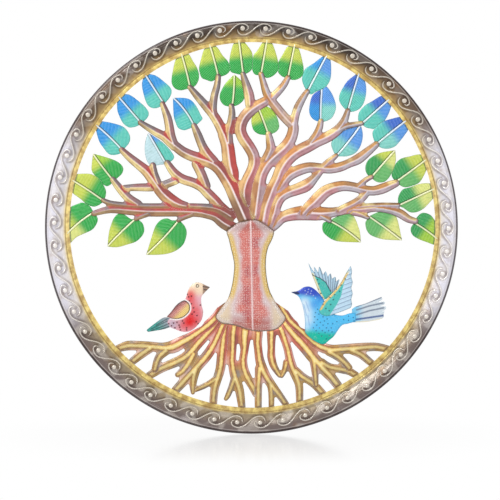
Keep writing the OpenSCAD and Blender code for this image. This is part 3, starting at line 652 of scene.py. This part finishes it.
def makeLeaf(name, finish, slot):
    # the midrib is the parabola that best fits the node's own rib; each half rises from the outline
    # towards a level, as one minus a falling exponential, with a groove beside the rib and the rib
    # standing on top
    edges = outline(name, -1.0)
    rib = outline(name, 0.8).reshape(-1, 2)
    centre = rib.mean(0)
    way = np.linalg.svd(rib - centre)[2][0]
    run, aside = (rib - centre) @ way, (rib - centre) @ np.array([-way[1], way[0]])
    bend = np.polyfit(run, aside, 2)
    if np.corrcoef(run, np.abs(aside - np.polyval(bend, run)))[0, 1] < 0:   # the rib widens towards the base
        way = -way
        run, aside = -run, -aside
        bend = np.polyfit(run, aside, 2)
    over = np.array([-way[1], way[0]])
    at, squares, depth = gridIn(edges, leaf["grid"])
    along = (at - centre) @ way
    across = (at - centre) @ over - np.polyval(bend, np.clip(along, -40, 40))
    ends = (edges.reshape(-1, 2) - centre) @ way
    share = (along - ends.min()) / np.ptp(ends)
    tipLeft, tipRight, baseLeft, baseRight, turn = paints[name]
    rightSide = step(-0.8, 0.8, across)
    tip, base = blend(tipLeft, tipRight, rightSide), blend(baseLeft, baseRight, rightSide)
    paint = tip + (base - tip) * step(turn - 0.13, turn + 0.13, share)[:, None]
    beyond = np.hypot(at[:, 0], at[:, 1]) - openingAt(np.arctan2(at[:, 1], at[:, 0]))
    # painted shadow: the leaf darkened where it passes under the rim's edge
    paint = blend(paint, rgb(40, 62, 60), step(-2.0, -0.9, beyond) * 0.75)   # the gap under the rim
    off, ribHalf = np.abs(across), leaf["ribHalf"]
    height = leaf["lobe"] * (1 - np.exp(-depth / 2.4)) - 0.4 * np.exp(-((off - ribHalf - 0.5) / 0.6) ** 2)
    height = np.maximum(height, 0.02) + leaf["ribHeight"] * (1 - step(ribHalf - 0.6, ribHalf + 0.3, off))
    strongSide = 1 if int(name[len("leaf_"):]) < leaf["turnsOver"] else -1
    pressedSheet(name, at, squares, height, 1.0, -1.0, finish, slot,
                 paint=paint, across=across * strongSide, along=along, rim=depth)


greenFinish = leafFinish("green_leaf_paint", rgb(244, 244, 206))
blueFinish = leafFinish("blue_leaf_paint", rgb(236, 244, 250))
for row in frame["record"]["subparts"]:
    if row["node"].startswith("leaf_"):
        blue = row["material_slot"] == "blue_leaf_paint"
        makeLeaf(row["node"], blueFinish if blue else greenFinish, row["material_slot"])
print("leaves painted:", len(paints))


# ---- birds

def birdFinish(name):
    # the sheet's own paint, darkened a little in patches and lightened in fine specks; the bump adds a
    # fine noise to the relief that the sheet holds
    f = Finish(name)
    fine, patchy = f.noise(520.0, 2.0), f.noise(120.0, 3.0)
    colour = f.mix(patchy.between(0.4, 0.75) * 0.2, f.mark("paint", "Color"), (0.8, 0.8, 0.84), "MULTIPLY")
    colour = f.mix(fine.between(0.55, 0.75) * 0.12, colour, rgb(255, 255, 255))
    relief = f.bump(fine * 0.4 + f.mark("relief"), 0.0006, 0.8)
    return f.done(colour, 0.34 + 0.15 * patchy, relief, 0.1, 0.15, 0.25)


def spots(paint, at, places, reach, colour, strength=0.9):  # small round marks of one colour
    for x, z in places:
        far = np.hypot(at[:, 0] - x, at[:, 1] - z)
        paint = blend(paint, colour, strength * step(reach, reach * 0.55, far))
    return paint


def strokes(paint, at, lines, width, colour, strength=0.85):  # painted lines through lists of points
    for line in lines:
        far = nearest(at, legsOf(line))[0]
        paint = blend(paint, colour, strength * step(width * 0.75, width * 0.3, far))
    return paint


def redBodyPaint(at, depth):
    # cream head, pink breast and red belly as soft sprays, then maroon spots, beak lines, the eye's
    # ring and white beside the wing; every painter gives the paint and the relief at each point
    cream, coral, pink = rgb(244, 220, 190), rgb(222, 84, 86), rgb(234, 186, 196)
    red, maroon = rgb(220, 20, 22), rgb(84, 14, 24)
    z = at[:, 1]
    paint = blend(np.tile(cream, (len(at), 1)), pink, step(-92, -104, z))
    paint = airbrush(paint, at, [
        (-88, -97, 7, coral, 0.9), (-88, -104, 6, red, 0.75), (-92, -112, 6, coral, 0.6),
        (-80, -120, 8, coral, 0.6), (-84, -127, 9, coral, 0.8), (-86, -112, 9, coral, 0.7),
        (-90, -137, 12, red, 1.0), (-84, -133, 10, red, 0.9), (-100, -142, 9, red, 0.6),
        (-79, -128, 6, rgb(224, 120, 130), 0.7), (-114, -140, 8, rgb(186, 170, 186), 0.9),
        (-106, -136, 6, rgb(200, 150, 160), 0.6)])
    paint = spots(paint, at, [
        (-108, -138), (-100, -136), (-105, -142), (-104, -145), (-98, -139), (-94, -146), (-94, -149),
        (-103, -149), (-111, -146), (-87, -111), (-84, -117), (-74, -113), (-91, -101), (-93, -97.5),
        (-80, -137), (-77, -140), (-116, -143), (-113, -139), (-83, -123), (-86, -126), (-79, -128),
        (-90, -107), (-120, -140), (-87, -100)], 1.6, maroon, 0.9)
    paint = blend(paint, rgb(150, 116, 96), step(-71.5, -69.5, at[:, 0]) * 0.9)
    beak = [[(-70, -86.2), (-60, -87.4)], [(-69, -90), (-64, -91.5)]]
    paint = strokes(paint, at, beak, 1.7, rgb(70, 66, 70))
    eye = np.hypot(at[:, 0] + 78.4, at[:, 1] + 85)
    paint = blend(paint, rgb(70, 58, 50), step(0.95, 0.4, np.abs(eye - 1.9)) * 0.9)
    paint = blend(paint, rgb(250, 244, 214), step(1.1, 0.5, eye))
    wing = nearest(at, redWingEdge)[0]
    paint = blend(paint, rgb(252, 246, 244), step(2.6, 1.2, wing) * 0.85)
    return paint, 0.5 * np.exp(-((eye - 1.9) / 0.6) ** 2)


def redWingPaint(at, depth):
    # maroon to rose to gold along the wing, with streaks that follow the sine of that distance
    share = (at - np.array([-123, -130])) @ np.array([0.55, -0.83])
    paint = blend(rgb(120, 58, 62), rgb(206, 140, 132), step(-8, 4, share + 0.15 * (at[:, 0] + 108)))
    paint = blend(paint, rgb(240, 208, 128), step(2, 12, share + 0.3 * (at[:, 0] + 112)))
    rimLine = step(1.9, 0.9, depth) * (0.5 + 0.5 * step(-118, -100, at[:, 0]))
    streaks = np.sin(share * 2.6 + at[:, 0] * 0.25)
    paint = blend(paint, rgb(90, 50, 50), 0.16 * step(0.3, 0.9, streaks))
    return blend(paint, rgb(44, 30, 34), rimLine * 0.9), 0.3 * streaks


def redTailPaint(at, depth):
    # teal that greys towards the body, with four dark feather lines
    along = (at - np.array([-150, -150])) @ np.array([0.91, 0.42])
    paint = blend(rgb(64, 156, 146), rgb(150, 160, 170), step(12, 32, along))
    lines = [[(-146, -148), (-122, -136)], [(-145, -150), (-122, -141)],
             [(-138, -142), (-122, -133)], [(-134, -149), (-120, -144)]]
    paint = strokes(paint, at, lines, 1.5, rgb(48, 66, 70), 0.75)
    return blend(paint, rgb(40, 60, 62), step(1.1, 0.4, depth) * 0.6), np.zeros(len(at))


def blueBodyPaint(at, depth):
    # blue head, sky blue back and teal belly as bands, pale sprays on the breast, then spots and lines
    head, skyBlue, belly = rgb(48, 76, 190), rgb(84, 190, 240), rgb(0, 184, 160)
    pale, navy = rgb(214, 232, 244), rgb(22, 40, 96)
    x, z = at.T
    paint = blend(np.tile(skyBlue, (len(at), 1)), belly, step(-146, -157, z + 0.12 * (x - 100)))
    paint = blend(paint, head, step(-104, -96, z + 0.15 * (x - 84)))
    paint = airbrush(paint, at, [
        (77, -110, 8, pale, 0.95), (80, -122, 9, pale, 0.9), (82, -134, 8, pale, 0.75),
        (80, -145, 6, pale, 0.5), (100, -103, 7, rgb(40, 120, 220), 0.7),
        (92, -112, 7, rgb(60, 140, 226), 0.6)])
    paint = strokes(paint, at, [[(56, -94), (66, -95)], [(60, -95.5), (68, -96)]], 3.4, rgb(34, 40, 80), 0.9)
    crown = [(78, -92), (82, -94), (86, -96), (83, -90), (90, -99), (87, -92.5), (93, -103), (80, -97)]
    paint = spots(paint, at, crown, 1.1, rgb(190, 206, 240), 0.8)
    flank = [(92, -130), (96, -134), (100, -138), (104, -142), (91, -138), (95, -142), (99, -146),
             (103, -150), (107, -153), (90, -146), (94, -150), (98, -154), (102, -158), (109, -146),
             (112, -150), (109, -162), (113, -157), (106, -136), (111, -140), (116, -146), (118, -140),
             (124, -137), (98, -126), (104, -130), (110, -133), (117, -152), (141, -129), (148, -131),
             (149, -136), (134, -134), (141, -135), (96, -119), (93, -124)]
    paint = spots(paint, at, flank, 1.25, navy, 0.75)
    breast = [[(76, -112), (80, -128)], [(79, -108), (84, -122)], [(82, -128), (84, -142)]]
    paint = strokes(paint, at, breast, 1.2, rgb(120, 160, 214), 0.6)
    return blend(paint, rgb(30, 90, 150), step(1.4, 0.5, depth) * 0.35), np.zeros(len(at))


def featherLines(at, root, low, high, count):
    # distance to the nearest of count lines that fan out from root: the turn to it times the distance
    # from root
    away = at - root
    turn, far = np.arctan2(away[:, 1], away[:, 0]), np.hypot(away[:, 0], away[:, 1])
    place = (turn - math.radians(low)) / math.radians(high - low) * count
    return np.abs(place - np.round(place)) * math.radians(high - low) / count * far


def blueNearPaint(at, depth):
    # teal on the body's side of the border and pale quills beyond it, striped by the sine of a slanted
    # distance
    lead = [(100, -117), (106, -107), (114, -99), (122, -90), (130, -80), (136, -69), (144, -56)]
    border = [(142, -58), (137, -72), (132, -90), (130, -100), (124, -112), (114, -127)]
    gold, tealCover, quill = rgb(224, 190, 110), rgb(76, 190, 184), rgb(190, 220, 240)
    foot = nearest(at, legsOf(border))[1]
    outside = step(-0.6, 0.6, (at[:, 0] - foot[:, 0]) + 0.3 * (foot[:, 1] - at[:, 1]))
    paint = blend(np.tile(tealCover, (len(at), 1)), quill, outside)
    paint = blend(paint, gold, step(4.2, 2.2, nearest(at, legsOf(lead))[0]) * step(-60, -70, at[:, 1]))
    slant = np.sin((at[:, 1] - 0.38 * at[:, 0]) * 2 * math.pi / 6.2)
    paint = blend(paint, rgb(110, 130, 160), outside * step(0.72, 0.97, slant) * 0.75)
    paint = spots(paint, at, [
        (114, -102), (119, -105), (128, -93), (123, -90), (136, -75), (115, -112), (113, -121), (104, -112),
        (121, -98), (130, -84), (108, -118)], 1.5, rgb(30, 60, 70), 0.8)
    return blend(paint, rgb(60, 110, 130), step(1.3, 0.5, depth) * 0.55), outside * slant * 0.4


def blueFarPaint(at, depth):
    # teal below a dark curve, pale feathers with fanned dark lines above it, and a cream leading edge
    lines = featherLines(at, (116, -118), 96, 134, 8)
    curve = [(86, -66), (90, -70), (100, -74), (108, -80), (115, -93)]
    far, foot = nearest(at, legsOf(curve))
    above = step(-0.5, 0.5, (at[:, 1] - foot[:, 1]) + 0.5 * (at[:, 0] - foot[:, 0]))
    paint = blend(np.tile(rgb(70, 186, 176), (len(at), 1)), rgb(176, 208, 228), above)
    paint = blend(paint, rgb(84, 96, 116), above * step(0.9, 0.3, lines) * 0.75)
    lead = [(104, -106), (99, -97), (94, -84), (88, -69)]
    paint = blend(paint, rgb(232, 222, 176), step(3.8, 2.0, nearest(at, legsOf(lead))[0]))
    paint = blend(paint, rgb(22, 44, 60), step(0.95, 0.35, far) * 0.9)
    dots = [(97, -90), (101, -96), (98, -82), (103, -102), (96, -76)]
    paint = spots(paint, at, dots, 1.5, rgb(30, 50, 60), 0.8)
    return blend(paint, rgb(70, 110, 130), step(1.1, 0.4, depth) * 0.5), 0.4 * step(1.2, 0.2, lines)


def blueTailPaint(at, depth):
    # sky blue that pales outwards, with grey, blue and cream lines along the feathers
    paint = blend(np.tile(rgb(120, 196, 232), (len(at), 1)), rgb(206, 218, 226), step(150, 166, at[:, 0]))
    grey = [[(152, -115), (170, -109), (188, -102)], [(153, -120), (172, -114), (191, -110)],
            [(153, -127), (172, -121), (192, -117)]]
    paint = strokes(paint, at, grey, 2.2, rgb(96, 108, 132), 0.8)
    paint = strokes(paint, at, [[(151, -134), (172, -131), (192, -128)]], 2.6, rgb(44, 76, 140), 0.85)
    paint = strokes(paint, at, [[(152, -138), (172, -137), (190, -133)]], 2.4, rgb(232, 222, 190), 0.9)
    return paint, np.zeros(len(at))


redWingEdge = outerLoop(outline("red_bird_wing", 3.4))
blueWingEdge = outerLoop(outline("blue_bird_near_wing", 3.4))
# each sheet starts at base, rises by rise over about reach from its edge, and its back comes down to
# lowest
body = dict(base=1.5, rise=2.2, reach=4.0, lowest=1.2)
tail = dict(base=0.9, rise=0.6, reach=2.5, lowest=-0.1)
farSheet = dict(base=0.9, rise=0.5, reach=2.0, lowest=-0.1)
wing = dict(base=3.6, rise=1.7, reach=3.5, lowest=3.0)
birds = {
    "red_bird_body": (redEdge, body, redBodyPaint, "red_bird_paint"),
    "red_bird_wing": (redWingEdge, wing, redWingPaint, "red_wing_paint"),
    "red_bird_tail": (outline("red_bird_tail", 0.0), tail, redTailPaint, "red_tail_paint"),
    "blue_bird_body": (blueEdge, body, blueBodyPaint, "blue_bird_paint"),
    "blue_bird_near_wing": (blueWingEdge, {**wing, "reach": 3.0}, blueNearPaint, "blue_wing_paint"),
    "blue_bird_far_wing": (outline("blue_bird_far_wing", 0.0), farSheet, blueFarPaint, "blue_wing_paint"),
    "blue_bird_tail": (outline("blue_bird_tail", 0.0), farSheet, blueTailPaint, "blue_tail_paint"),
}


def makeFeatherSheet(node, edges, form, paintOf, finish, slot, thick=1.0, grid=0.55):
    # height is the base plus the rise times one minus a falling exponential of the depth inside the
    # outline
    at, squares, depth = gridIn(edges, grid)
    paint, relief = paintOf(at, depth)
    height = form["base"] + form["rise"] * (1 - np.exp(-depth / form["reach"]))
    pressedSheet(node, at, squares, height, thick, form["lowest"], finish, slot, paint=paint, relief=relief)


birdFinishes = {slot: birdFinish(slot) for slot in dict.fromkeys(row[3] for row in birds.values())}
for name, (edges, form, paintOf, slot) in birds.items():
    makeFeatherSheet(name, edges, form, paintOf, birdFinishes[slot], slot)
print("birds painted")


# ---- rim

def crownHeight(r):  # straight lines between stations from the flat flange over the crown to the rolled edge
    radii = np.array([0, 273, 276, 279.5, 284.5, 288.5, 293, 296.3, 297.4, 298.6, 299.5, 300])
    heights = np.array([1.2, 1.2, 1.7, 3.8, 7.0, 8.0, 7.3, 5.0, 4.5, 4.2, 3.0, 1.5])
    return np.interp(r, radii, heights)


def rimGround(turn, share):
    # dark brown above, silver at both sides, taupe below; gold brown towards the opening; share runs 0
    # to 1 outwards
    up, sideways = np.sin(turn), np.abs(np.cos(turn))
    top = blend(rgb(172, 140, 88), rgb(52, 38, 28), step(0.2, 0.66, share))
    bottom = blend(rgb(158, 142, 112), rgb(112, 98, 94), step(0.1, 0.8, share))
    silver = blend(rgb(226, 214, 190), rgb(222, 220, 230), step(0.1, 0.5, share))
    brown = blend(rgb(172, 142, 92), rgb(100, 80, 64), step(0.15, 0.7, share))
    ground = blend(bottom, top, step(-0.2, 0.5, up))
    ground = blend(ground, brown, step(0.45, 0.75, sideways) * step(-0.7, 0.1, up))
    return blend(ground, silver, step(0.84, 0.95, sideways))


scroll = {
    "along": 40,            # points along its line
    "across": 5,            # points over its half round
    "lift": 1.25,           # height of the half round
    "sunk": 0.3,            # how far its foot lies below the rim
    "top": 8.35,            # no part stands higher
}
# the scroll's middle line, along and out from a bead
scrollShape = np.array([(-7.6, -1.5), (-6.6, -5.6), (-3.2, -8.6), (1.5, -9.2), (7, -8.0), (13.5, -4.0),
                        (20, 1.6), (26, 5.6), (31.5, 6.8), (37.2, 5.7), (41.2, 2.4), (40.9, -1.4),
                        (37.2, -3.6)])


def smoothLine(points, count):
    # a cubic through each two neighbours whose slope at a point is half the way between the points
    # beside it
    share = np.linspace(0, len(points) - 1, count)
    cell = np.minimum(share.astype(int), len(points) - 2)
    t = (share - cell)[:, None]
    padded = np.vstack([2 * points[0] - points[1], points, 2 * points[-1] - points[-2]])
    a, b, c, d = (padded[cell + k] for k in range(4))
    return (2 * b + (c - a) * t + (2 * a - 5 * b + 4 * c - d) * t ** 2 + (3 * b - a - 3 * c + d) * t ** 3) / 2


def chasedShade(x, z):
    # painted shade beside the scrolls and round the beads, where chasing leaves hollows: a share that
    # falls off with the distance to them, with the place along the rim taken as a remainder of one pitch
    pitch = 2 * math.pi * rim["beadRadius"] / rim["waves"]
    turn = np.arctan2(z - rim["beadRise"], x) - math.radians(rim["firstBead"])
    place = (-turn * rim["beadRadius"] + pitch / 2) % pitch - pitch / 2
    out = np.hypot(x, z - rim["beadRise"]) - rim["beadRadius"]
    line = smoothLine(scrollShape, scroll["along"])
    legs = np.concatenate([legsOf(line + [k * pitch, 0]) for k in (-1, 0, 1)])
    shadeSide = np.column_stack([place, out + 1.6])   # the side towards the opening lies in shade
    below = nearest(shadeSide, legs)[0]
    return np.clip(0.8 * step(3.4, 1.2, below) + 0.75 * step(7.5, 3.4, np.hypot(place, out)), 0, 1)


def rimFinish():
    # the rim's own paint, streaked and stained by noises; gold towards the opening, a groove at its
    # share of the width, a pale line near the outside, and a dark band from there outwards
    f = Finish("rim_lacquer")
    stain, streak, fine = f.noise(26.0, 5.0, 0.65), f.noise(95.0, 4.0), f.noise(700.0, 2.0)
    share = f.mark("share")
    colour = f.mark("paint", "Color")
    colour = f.mix(streak.between(0.45, 0.7) * 0.4, colour, (0.66, 0.6, 0.54), "MULTIPLY")
    colour = f.mix(stain.between(0.56, 0.72) * 0.4, colour, rgb(150, 108, 60))
    colour = f.mix((1 - stain).between(0.58, 0.74) * 0.35, colour, rgb(232, 224, 222))
    inner = 1 - share.between(0.17, 0.29)
    goldLeaf = f.mix(streak.between(0.32, 0.66), rgb(244, 220, 132), rgb(176, 142, 76))
    colour = f.mix(inner * 0.9, colour, goldLeaf)
    groove = 1 - (share - rim["groove"]).size().between(0.008, 0.03)
    colour = f.mix(groove * 0.6, colour, rgb(120, 92, 52))
    paleLine = 1 - (share - 0.885).size().between(0.006, 0.022)
    colour = f.mix(paleLine * 0.35, colour, rgb(220, 212, 208))
    colour = f.mix(share.between(0.905, 0.925) * 0.92, colour, rgb(48, 36, 36))
    relief = streak * 0.6 + fine * 0.25 - groove
    return f.done(colour, 0.3 + 0.22 * streak, f.bump(relief, 0.0006, 0.7), 0.4, 0.2, 0.4)


def makeRim():
    # a closed section carried round: opening edge, flange, crown, rolled edge, wall, return flange and
    # the inside
    turn = np.linspace(0, 2 * math.pi, rim["around"], endpoint=False)[:, None]
    inner = openingAt(turn)
    front = np.concatenate([np.linspace(0, 0.28, 7), np.linspace(0.32, 1, 40)])
    r = inner + (rim["radius"] - 0.02 - inner) * front
    h = crownHeight(r)
    h = h - 0.35 * np.exp(-((front - rim["groove"]) / 0.02) ** 2) - 0.25 * (front == 0)
    inNotch = np.abs(turn - math.pi / 2) < rim["notchHalf"] / 298
    wallR = np.array([299.98, 299.98, 299.9, 299.6])
    wallH = np.array([0.0, -3.0, -7.6, -rim["front"]])
    innerWallR = np.array([298.8, 298.7, 297.0, 293.0, 288.5, 284.6, 279.6, 276.2])
    innerWallH = np.array([-6.8, 0.0, 3.4, 6.0, 6.7, 5.8, 2.6, 0.2])
    lip = np.where(inNotch, rim["notchLip"], rim["flange"])
    blank = np.ones_like(turn)
    radii = np.hstack([r, blank * wallR, lip, lip, blank * innerWallR,
                       np.minimum(inner + 2, 274), inner + 0.4])
    heights = np.hstack([h * blank, blank * wallH, blank * -rim["front"], blank * -6.8, blank * innerWallH,
                         blank * 0.0, blank * 0.0])
    count = radii.shape[1]
    points = np.stack([radii * np.cos(turn), -heights, radii * np.sin(turn)], -1).reshape(-1, 3) * mm
    number = np.arange(len(points)).reshape(-1, count)
    after, across = np.roll(number, -1, 0), np.roll(number, -1, 1)
    both = np.roll(after, -1, 1)
    faces = np.stack([number, across, both, after], -1).reshape(-1, 4)
    which = np.tile(np.arange(count) >= len(front) + 2, rim["around"])   # bare steel from the wall inwards
    share = np.hstack([blank * front, blank * np.full(count - len(front), 1.0)]).ravel()
    turns = (turn * np.ones(count)).ravel()
    x, z = points[:, 0] / mm, points[:, 2] / mm
    shade = np.zeros(len(points))
    onFace = np.tile(np.arange(count) < len(front), rim["around"])
    shade[onFace] = chasedShade(x[onFace], z[onFace])
    ground = rimGround(turns, share)
    # painted shade: the ground darkened on the opening's side of each scroll and round each bead
    ground = blend(ground, ground * [0.34, 0.28, 0.24], shade * 0.8)
    worn = step(0.1, 0.7, mottle(np.column_stack([x, z]), 24, 9.0)) * (0.3 - 0.2 * step(60, 200, z))
    ground = blend(ground, rgb(226, 218, 208), worn)
    piece = makeMesh("rim_sheet", points, faces, [rimFinish(), bareBack], which, 40,
                     paint=ground, share=share)
    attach(piece, "panel")
    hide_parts("rim")


def beadPlaces():  # even turns round the bead circle, and the places there
    turn = np.linspace(0, 2 * math.pi, rim["waves"], endpoint=False) + math.radians(rim["firstBead"])
    radius = rim["beadRadius"]
    return turn, np.column_stack([radius * np.cos(turn), rim["beadRise"] + radius * np.sin(turn)])


def raisedFinish(name, lift):  # the rim's paint with a share of pale colour as a painted highlight, and wear where a noise is high
    f = Finish(name)
    worn = f.noise(220.0, 3.0)
    # painted highlight: the raised line or bead mixed toward pale by the share lift
    colour = f.mix(lift, f.mark("paint", "Color"), rgb(246, 238, 224))
    colour = f.mix(worn.between(0.5, 0.75) * 0.35, colour, (0.7, 0.64, 0.58), "MULTIPLY")
    return f.done(colour, 0.26 + 0.15 * worn, f.bump(worn, 0.0003, 0.5), 0.3, 0.3, 0.5)


def makeScrolls():
    # each scroll leaves one bead, dips inside it, crosses over and curls round the next; its section is
    # a half round whose width and height taper over the first and the last six points
    count = scroll["along"]
    local = smoothLine(scrollShape, count)
    beadTurn, _ = beadPlaces()
    turn = beadTurn[:, None] - local[:, 0] / rim["beadRadius"]
    r = rim["beadRadius"] + local[:, 1]
    line = np.stack([r * np.cos(turn), rim["beadRise"] + r * np.sin(turn)], -1)
    ahead = np.gradient(line, axis=1)
    ahead /= np.linalg.norm(ahead, axis=-1, keepdims=True)
    over = np.stack([-ahead[..., 1], ahead[..., 0]], -1)
    taper = np.minimum(1, 0.35 + np.minimum(np.arange(count), count - 1 - np.arange(count)) / 6)
    bend = np.linspace(-1, 1, scroll["across"])
    flat = line[:, :, None] + over[:, :, None] * (bend * rim["line"])[:, None] * taper[:, None, None]
    ground = crownHeight(np.hypot(flat[..., 0], flat[..., 1]))
    halfRound = scroll["lift"] * np.sqrt(np.maximum(1 - bend ** 2, 0)) * taper[:, None]
    height = ground - scroll["sunk"] + halfRound
    height = np.minimum(height, scroll["top"])
    points = np.stack([flat[..., 0], -height, flat[..., 1]], -1)
    under = points[:, :, [0, -1]] + np.array([0, 0.3, 0])
    ring = np.concatenate([points, under[:, :, ::-1]], 2)
    number = np.arange(ring[..., 0].size).reshape(ring.shape[:3])
    here, after = number[:, :-1], number[:, 1:]
    faces = np.stack([here, np.roll(here, -1, 2), np.roll(after, -1, 2), after], -1).reshape(-1, 4)
    caps = np.concatenate([number[:, 0, ::-1], number[:, -1]])
    turns = np.arctan2(ring[..., 2], ring[..., 0]).ravel()
    inner = openingAt(turns)
    share = np.clip((np.hypot(ring[..., 0], ring[..., 2]).ravel() - inner) / (rim["radius"] - inner), 0, 1)
    finish = raisedFinish("scroll_lacquer", 0.48)
    piece = makeMesh("rim_scrolls", ring.reshape(-1, 3) * mm, [faces, caps], [finish], None, 70,
                     paint=rimGround(turns, share))
    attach(piece, "panel")


beads = {
    "around": 14,           # points in a ring
    "rings": 4,             # from the foot up
    "foot": 0.7,            # how far the lowest ring lies below the rim
    "lift": 1.9,            # from that ring to the top
    "top": 8.4,             # no ring stands higher
}


def makeBeads():
    # low domes: rings whose radius follows the cosine and whose height the sine of a quarter turn,
    # closed by a point on top and one underneath
    beadTurn, centres = beadPlaces()
    around, rings = beads["around"], beads["rings"]
    rise = np.linspace(0, 1, rings + 1)[:-1] * math.pi / 2
    spin = np.linspace(0, 2 * math.pi, around, endpoint=False)
    r = rim["bead"] * np.cos(rise)[:, None]
    flat = np.stack([r * np.cos(spin), r * np.sin(spin)], -1)
    places = centres[:, None, None] + flat
    ground = crownHeight(np.hypot(centres[:, 0], centres[:, 1]))
    height = ground[:, None, None] - beads["foot"] + beads["lift"] * np.sin(rise)[:, None] * np.ones(around)
    shell = np.stack([places[..., 0], -np.minimum(height, beads["top"]), places[..., 1]], -1)
    top = np.column_stack([centres[:, 0], -np.minimum(ground + 1.2, beads["top"] + 0.05), centres[:, 1]])
    foot = np.column_stack([centres[:, 0], -(ground - beads["foot"] - 0.1), centres[:, 1]])
    points = np.concatenate([shell.reshape(len(centres), -1, 3), top[:, None], foot[:, None]], 1)
    number = np.arange(rings * around).reshape(rings, around)
    here, above = number[:-1], number[1:]
    quads = np.stack([here, np.roll(here, -1, 1), np.roll(above, -1, 1), above], -1).reshape(-1, 4)
    topRing, footRing, last = number[-1], number[0], rings * around
    caps = np.concatenate([np.column_stack([topRing, np.roll(topRing, -1), np.full(around, last)]),
                           np.column_stack([np.roll(footRing, -1), footRing, np.full(around, last + 1)])])
    base = np.arange(len(centres))[:, None, None] * points.shape[1]
    quads, caps = (quads + base).reshape(-1, 4), (caps + base).reshape(-1, 3)
    turns = np.repeat(beadTurn, points.shape[1])
    finish = raisedFinish("bead_lacquer", 0.6)
    piece = makeMesh("rim_beads", points.reshape(-1, 3) * mm, [quads, caps], [finish], None, 60,
                     paint=rimGround(turns, np.full(len(turns), 0.55)))
    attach(piece, "panel")


makeRim()
makeScrolls()
makeBeads()
print("rim chased:", rim["waves"], "scrolls")


# ---- hanger, on the back

def zincFinish():  # two zinc greys mixed by the distance to the middle of each spangle
    f = Finish("zinc_plate")
    spangle, fine = f.cells(240.0), f.noise(900.0, 2.0)
    colour = f.mix(spangle.between(0.2, 0.8), rgb(196, 198, 202), rgb(168, 172, 178))
    return f.done(colour, 0.28 + 0.2 * fine, f.bump(fine, 0.0001, 0.3), metal=1.0)


zinc = zincFinish()
for name in ("hanger_strap", "hanger_ring"):
    node = frame["nodes"][name]
    node.data.materials.clear()
    node.data.materials.append(zinc)
print("hanger plated")


# ---- floor, light and camera

studio = {
    "backdrop": 1.0,        # brightness that the camera and mirror images see
    "soft": 0.36,           # brightness that lights the panel
    "mirror": 0.26,         # share of the floor's shine near the panel
    "fade": (0.3, 0.55),    # metres over which that shine ends
}
lamps = {  # place, aim, size in metres, watts
    "key": ((-1.3, -1.9, 1.7), (0, 0, 0), 1.1, 42),
    "fill": ((1.8, -2.4, 0.2), (0, 0, 0), 1.8, 8),
    "top": ((0, -0.3, 2.6), (0, 0, -0.3), 2.2, 12),
}


def makeFloor():  # a white sheet that glows, so that it stays white, and mirrors faintly near the panel
    f = Finish("studio_floor")
    white = f.add("ShaderNodeEmission", values={"Color": (1, 1, 1, 1), "Strength": 1.0})
    gloss = f.add("ShaderNodeBsdfGlossy", values={"Color": (0.9, 0.9, 0.9, 1), "Roughness": 0.13})
    reach = f.add("ShaderNodeVectorMath", {"operation": "LENGTH"}, {0: f.place()}, "Value")
    share = studio["mirror"] * (1 - reach.between(*studio["fade"]))
    shader = f.add("ShaderNodeMixShader", values={0: share, 1: white, 2: gloss})
    f.add("ShaderNodeOutputMaterial", values={"Surface": shader})
    below = cadLow.z - 0.0005
    corners = np.array([(-4, -4, below), (4, -4, below), (4, 6, below), (-4, 6, below)])
    floor = makeMesh("studio_floor", corners, np.array([[0, 1, 2, 3]]), [f.material])


def makeWorld():  # white, at one brightness for the camera and mirror images and a lower one as light
    f = Finish("studio", bpy.data.worlds.new("studio"))
    direct = f.add("ShaderNodeLightPath", output="Is Camera Ray")
    mirrored = f.add("ShaderNodeLightPath", output="Is Glossy Ray")
    seen = f.add("ShaderNodeBackground", values={"Color": (1, 1, 1, 1), "Strength": studio["backdrop"]})
    soft = f.add("ShaderNodeBackground", values={"Color": (1, 1, 1, 1), "Strength": studio["soft"]})
    either = f.add("ShaderNodeMath", {"operation": "MAXIMUM"}, {0: direct, 1: mirrored})
    both = f.add("ShaderNodeMixShader", values={0: either, 1: soft, 2: seen})
    f.add("ShaderNodeOutputWorld", values={"Surface": both})
    bpy.context.scene.world = f.material


def areaLight(name, place, target, size, power):  # a round lamp that faces its target
    lamp = bpy.data.lights.new(name, "AREA")
    lamp.shape, lamp.size, lamp.energy = "DISK", size, power
    holder = bpy.data.objects.new(name, lamp)
    holder.location = place
    holder.rotation_euler = (Vector(target) - Vector(place)).to_track_quat("-Z", "Y").to_euler()
    bpy.context.scene.collection.objects.link(holder)


makeFloor()
makeWorld()
for name, (place, target, size, power) in lamps.items():
    areaLight(name, place, target, size, power)

view = {"distance": 3.0, "wide": 0.7264, "x": -0.0020, "z": -0.0330}   # metres: wide is the width seen
camera = bpy.data.cameras.new("camera")
camera.sensor_width = 36
camera.lens = 36 * view["distance"] / view["wide"]
holder = bpy.data.objects.new("camera", camera)
holder.location = (view["x"], -view["distance"], view["z"])
holder.rotation_euler = (math.pi / 2, 0, 0)
bpy.context.scene.collection.objects.link(holder)
bpy.context.scene.camera = holder
bpy.context.scene.view_settings.view_transform = "Standard"
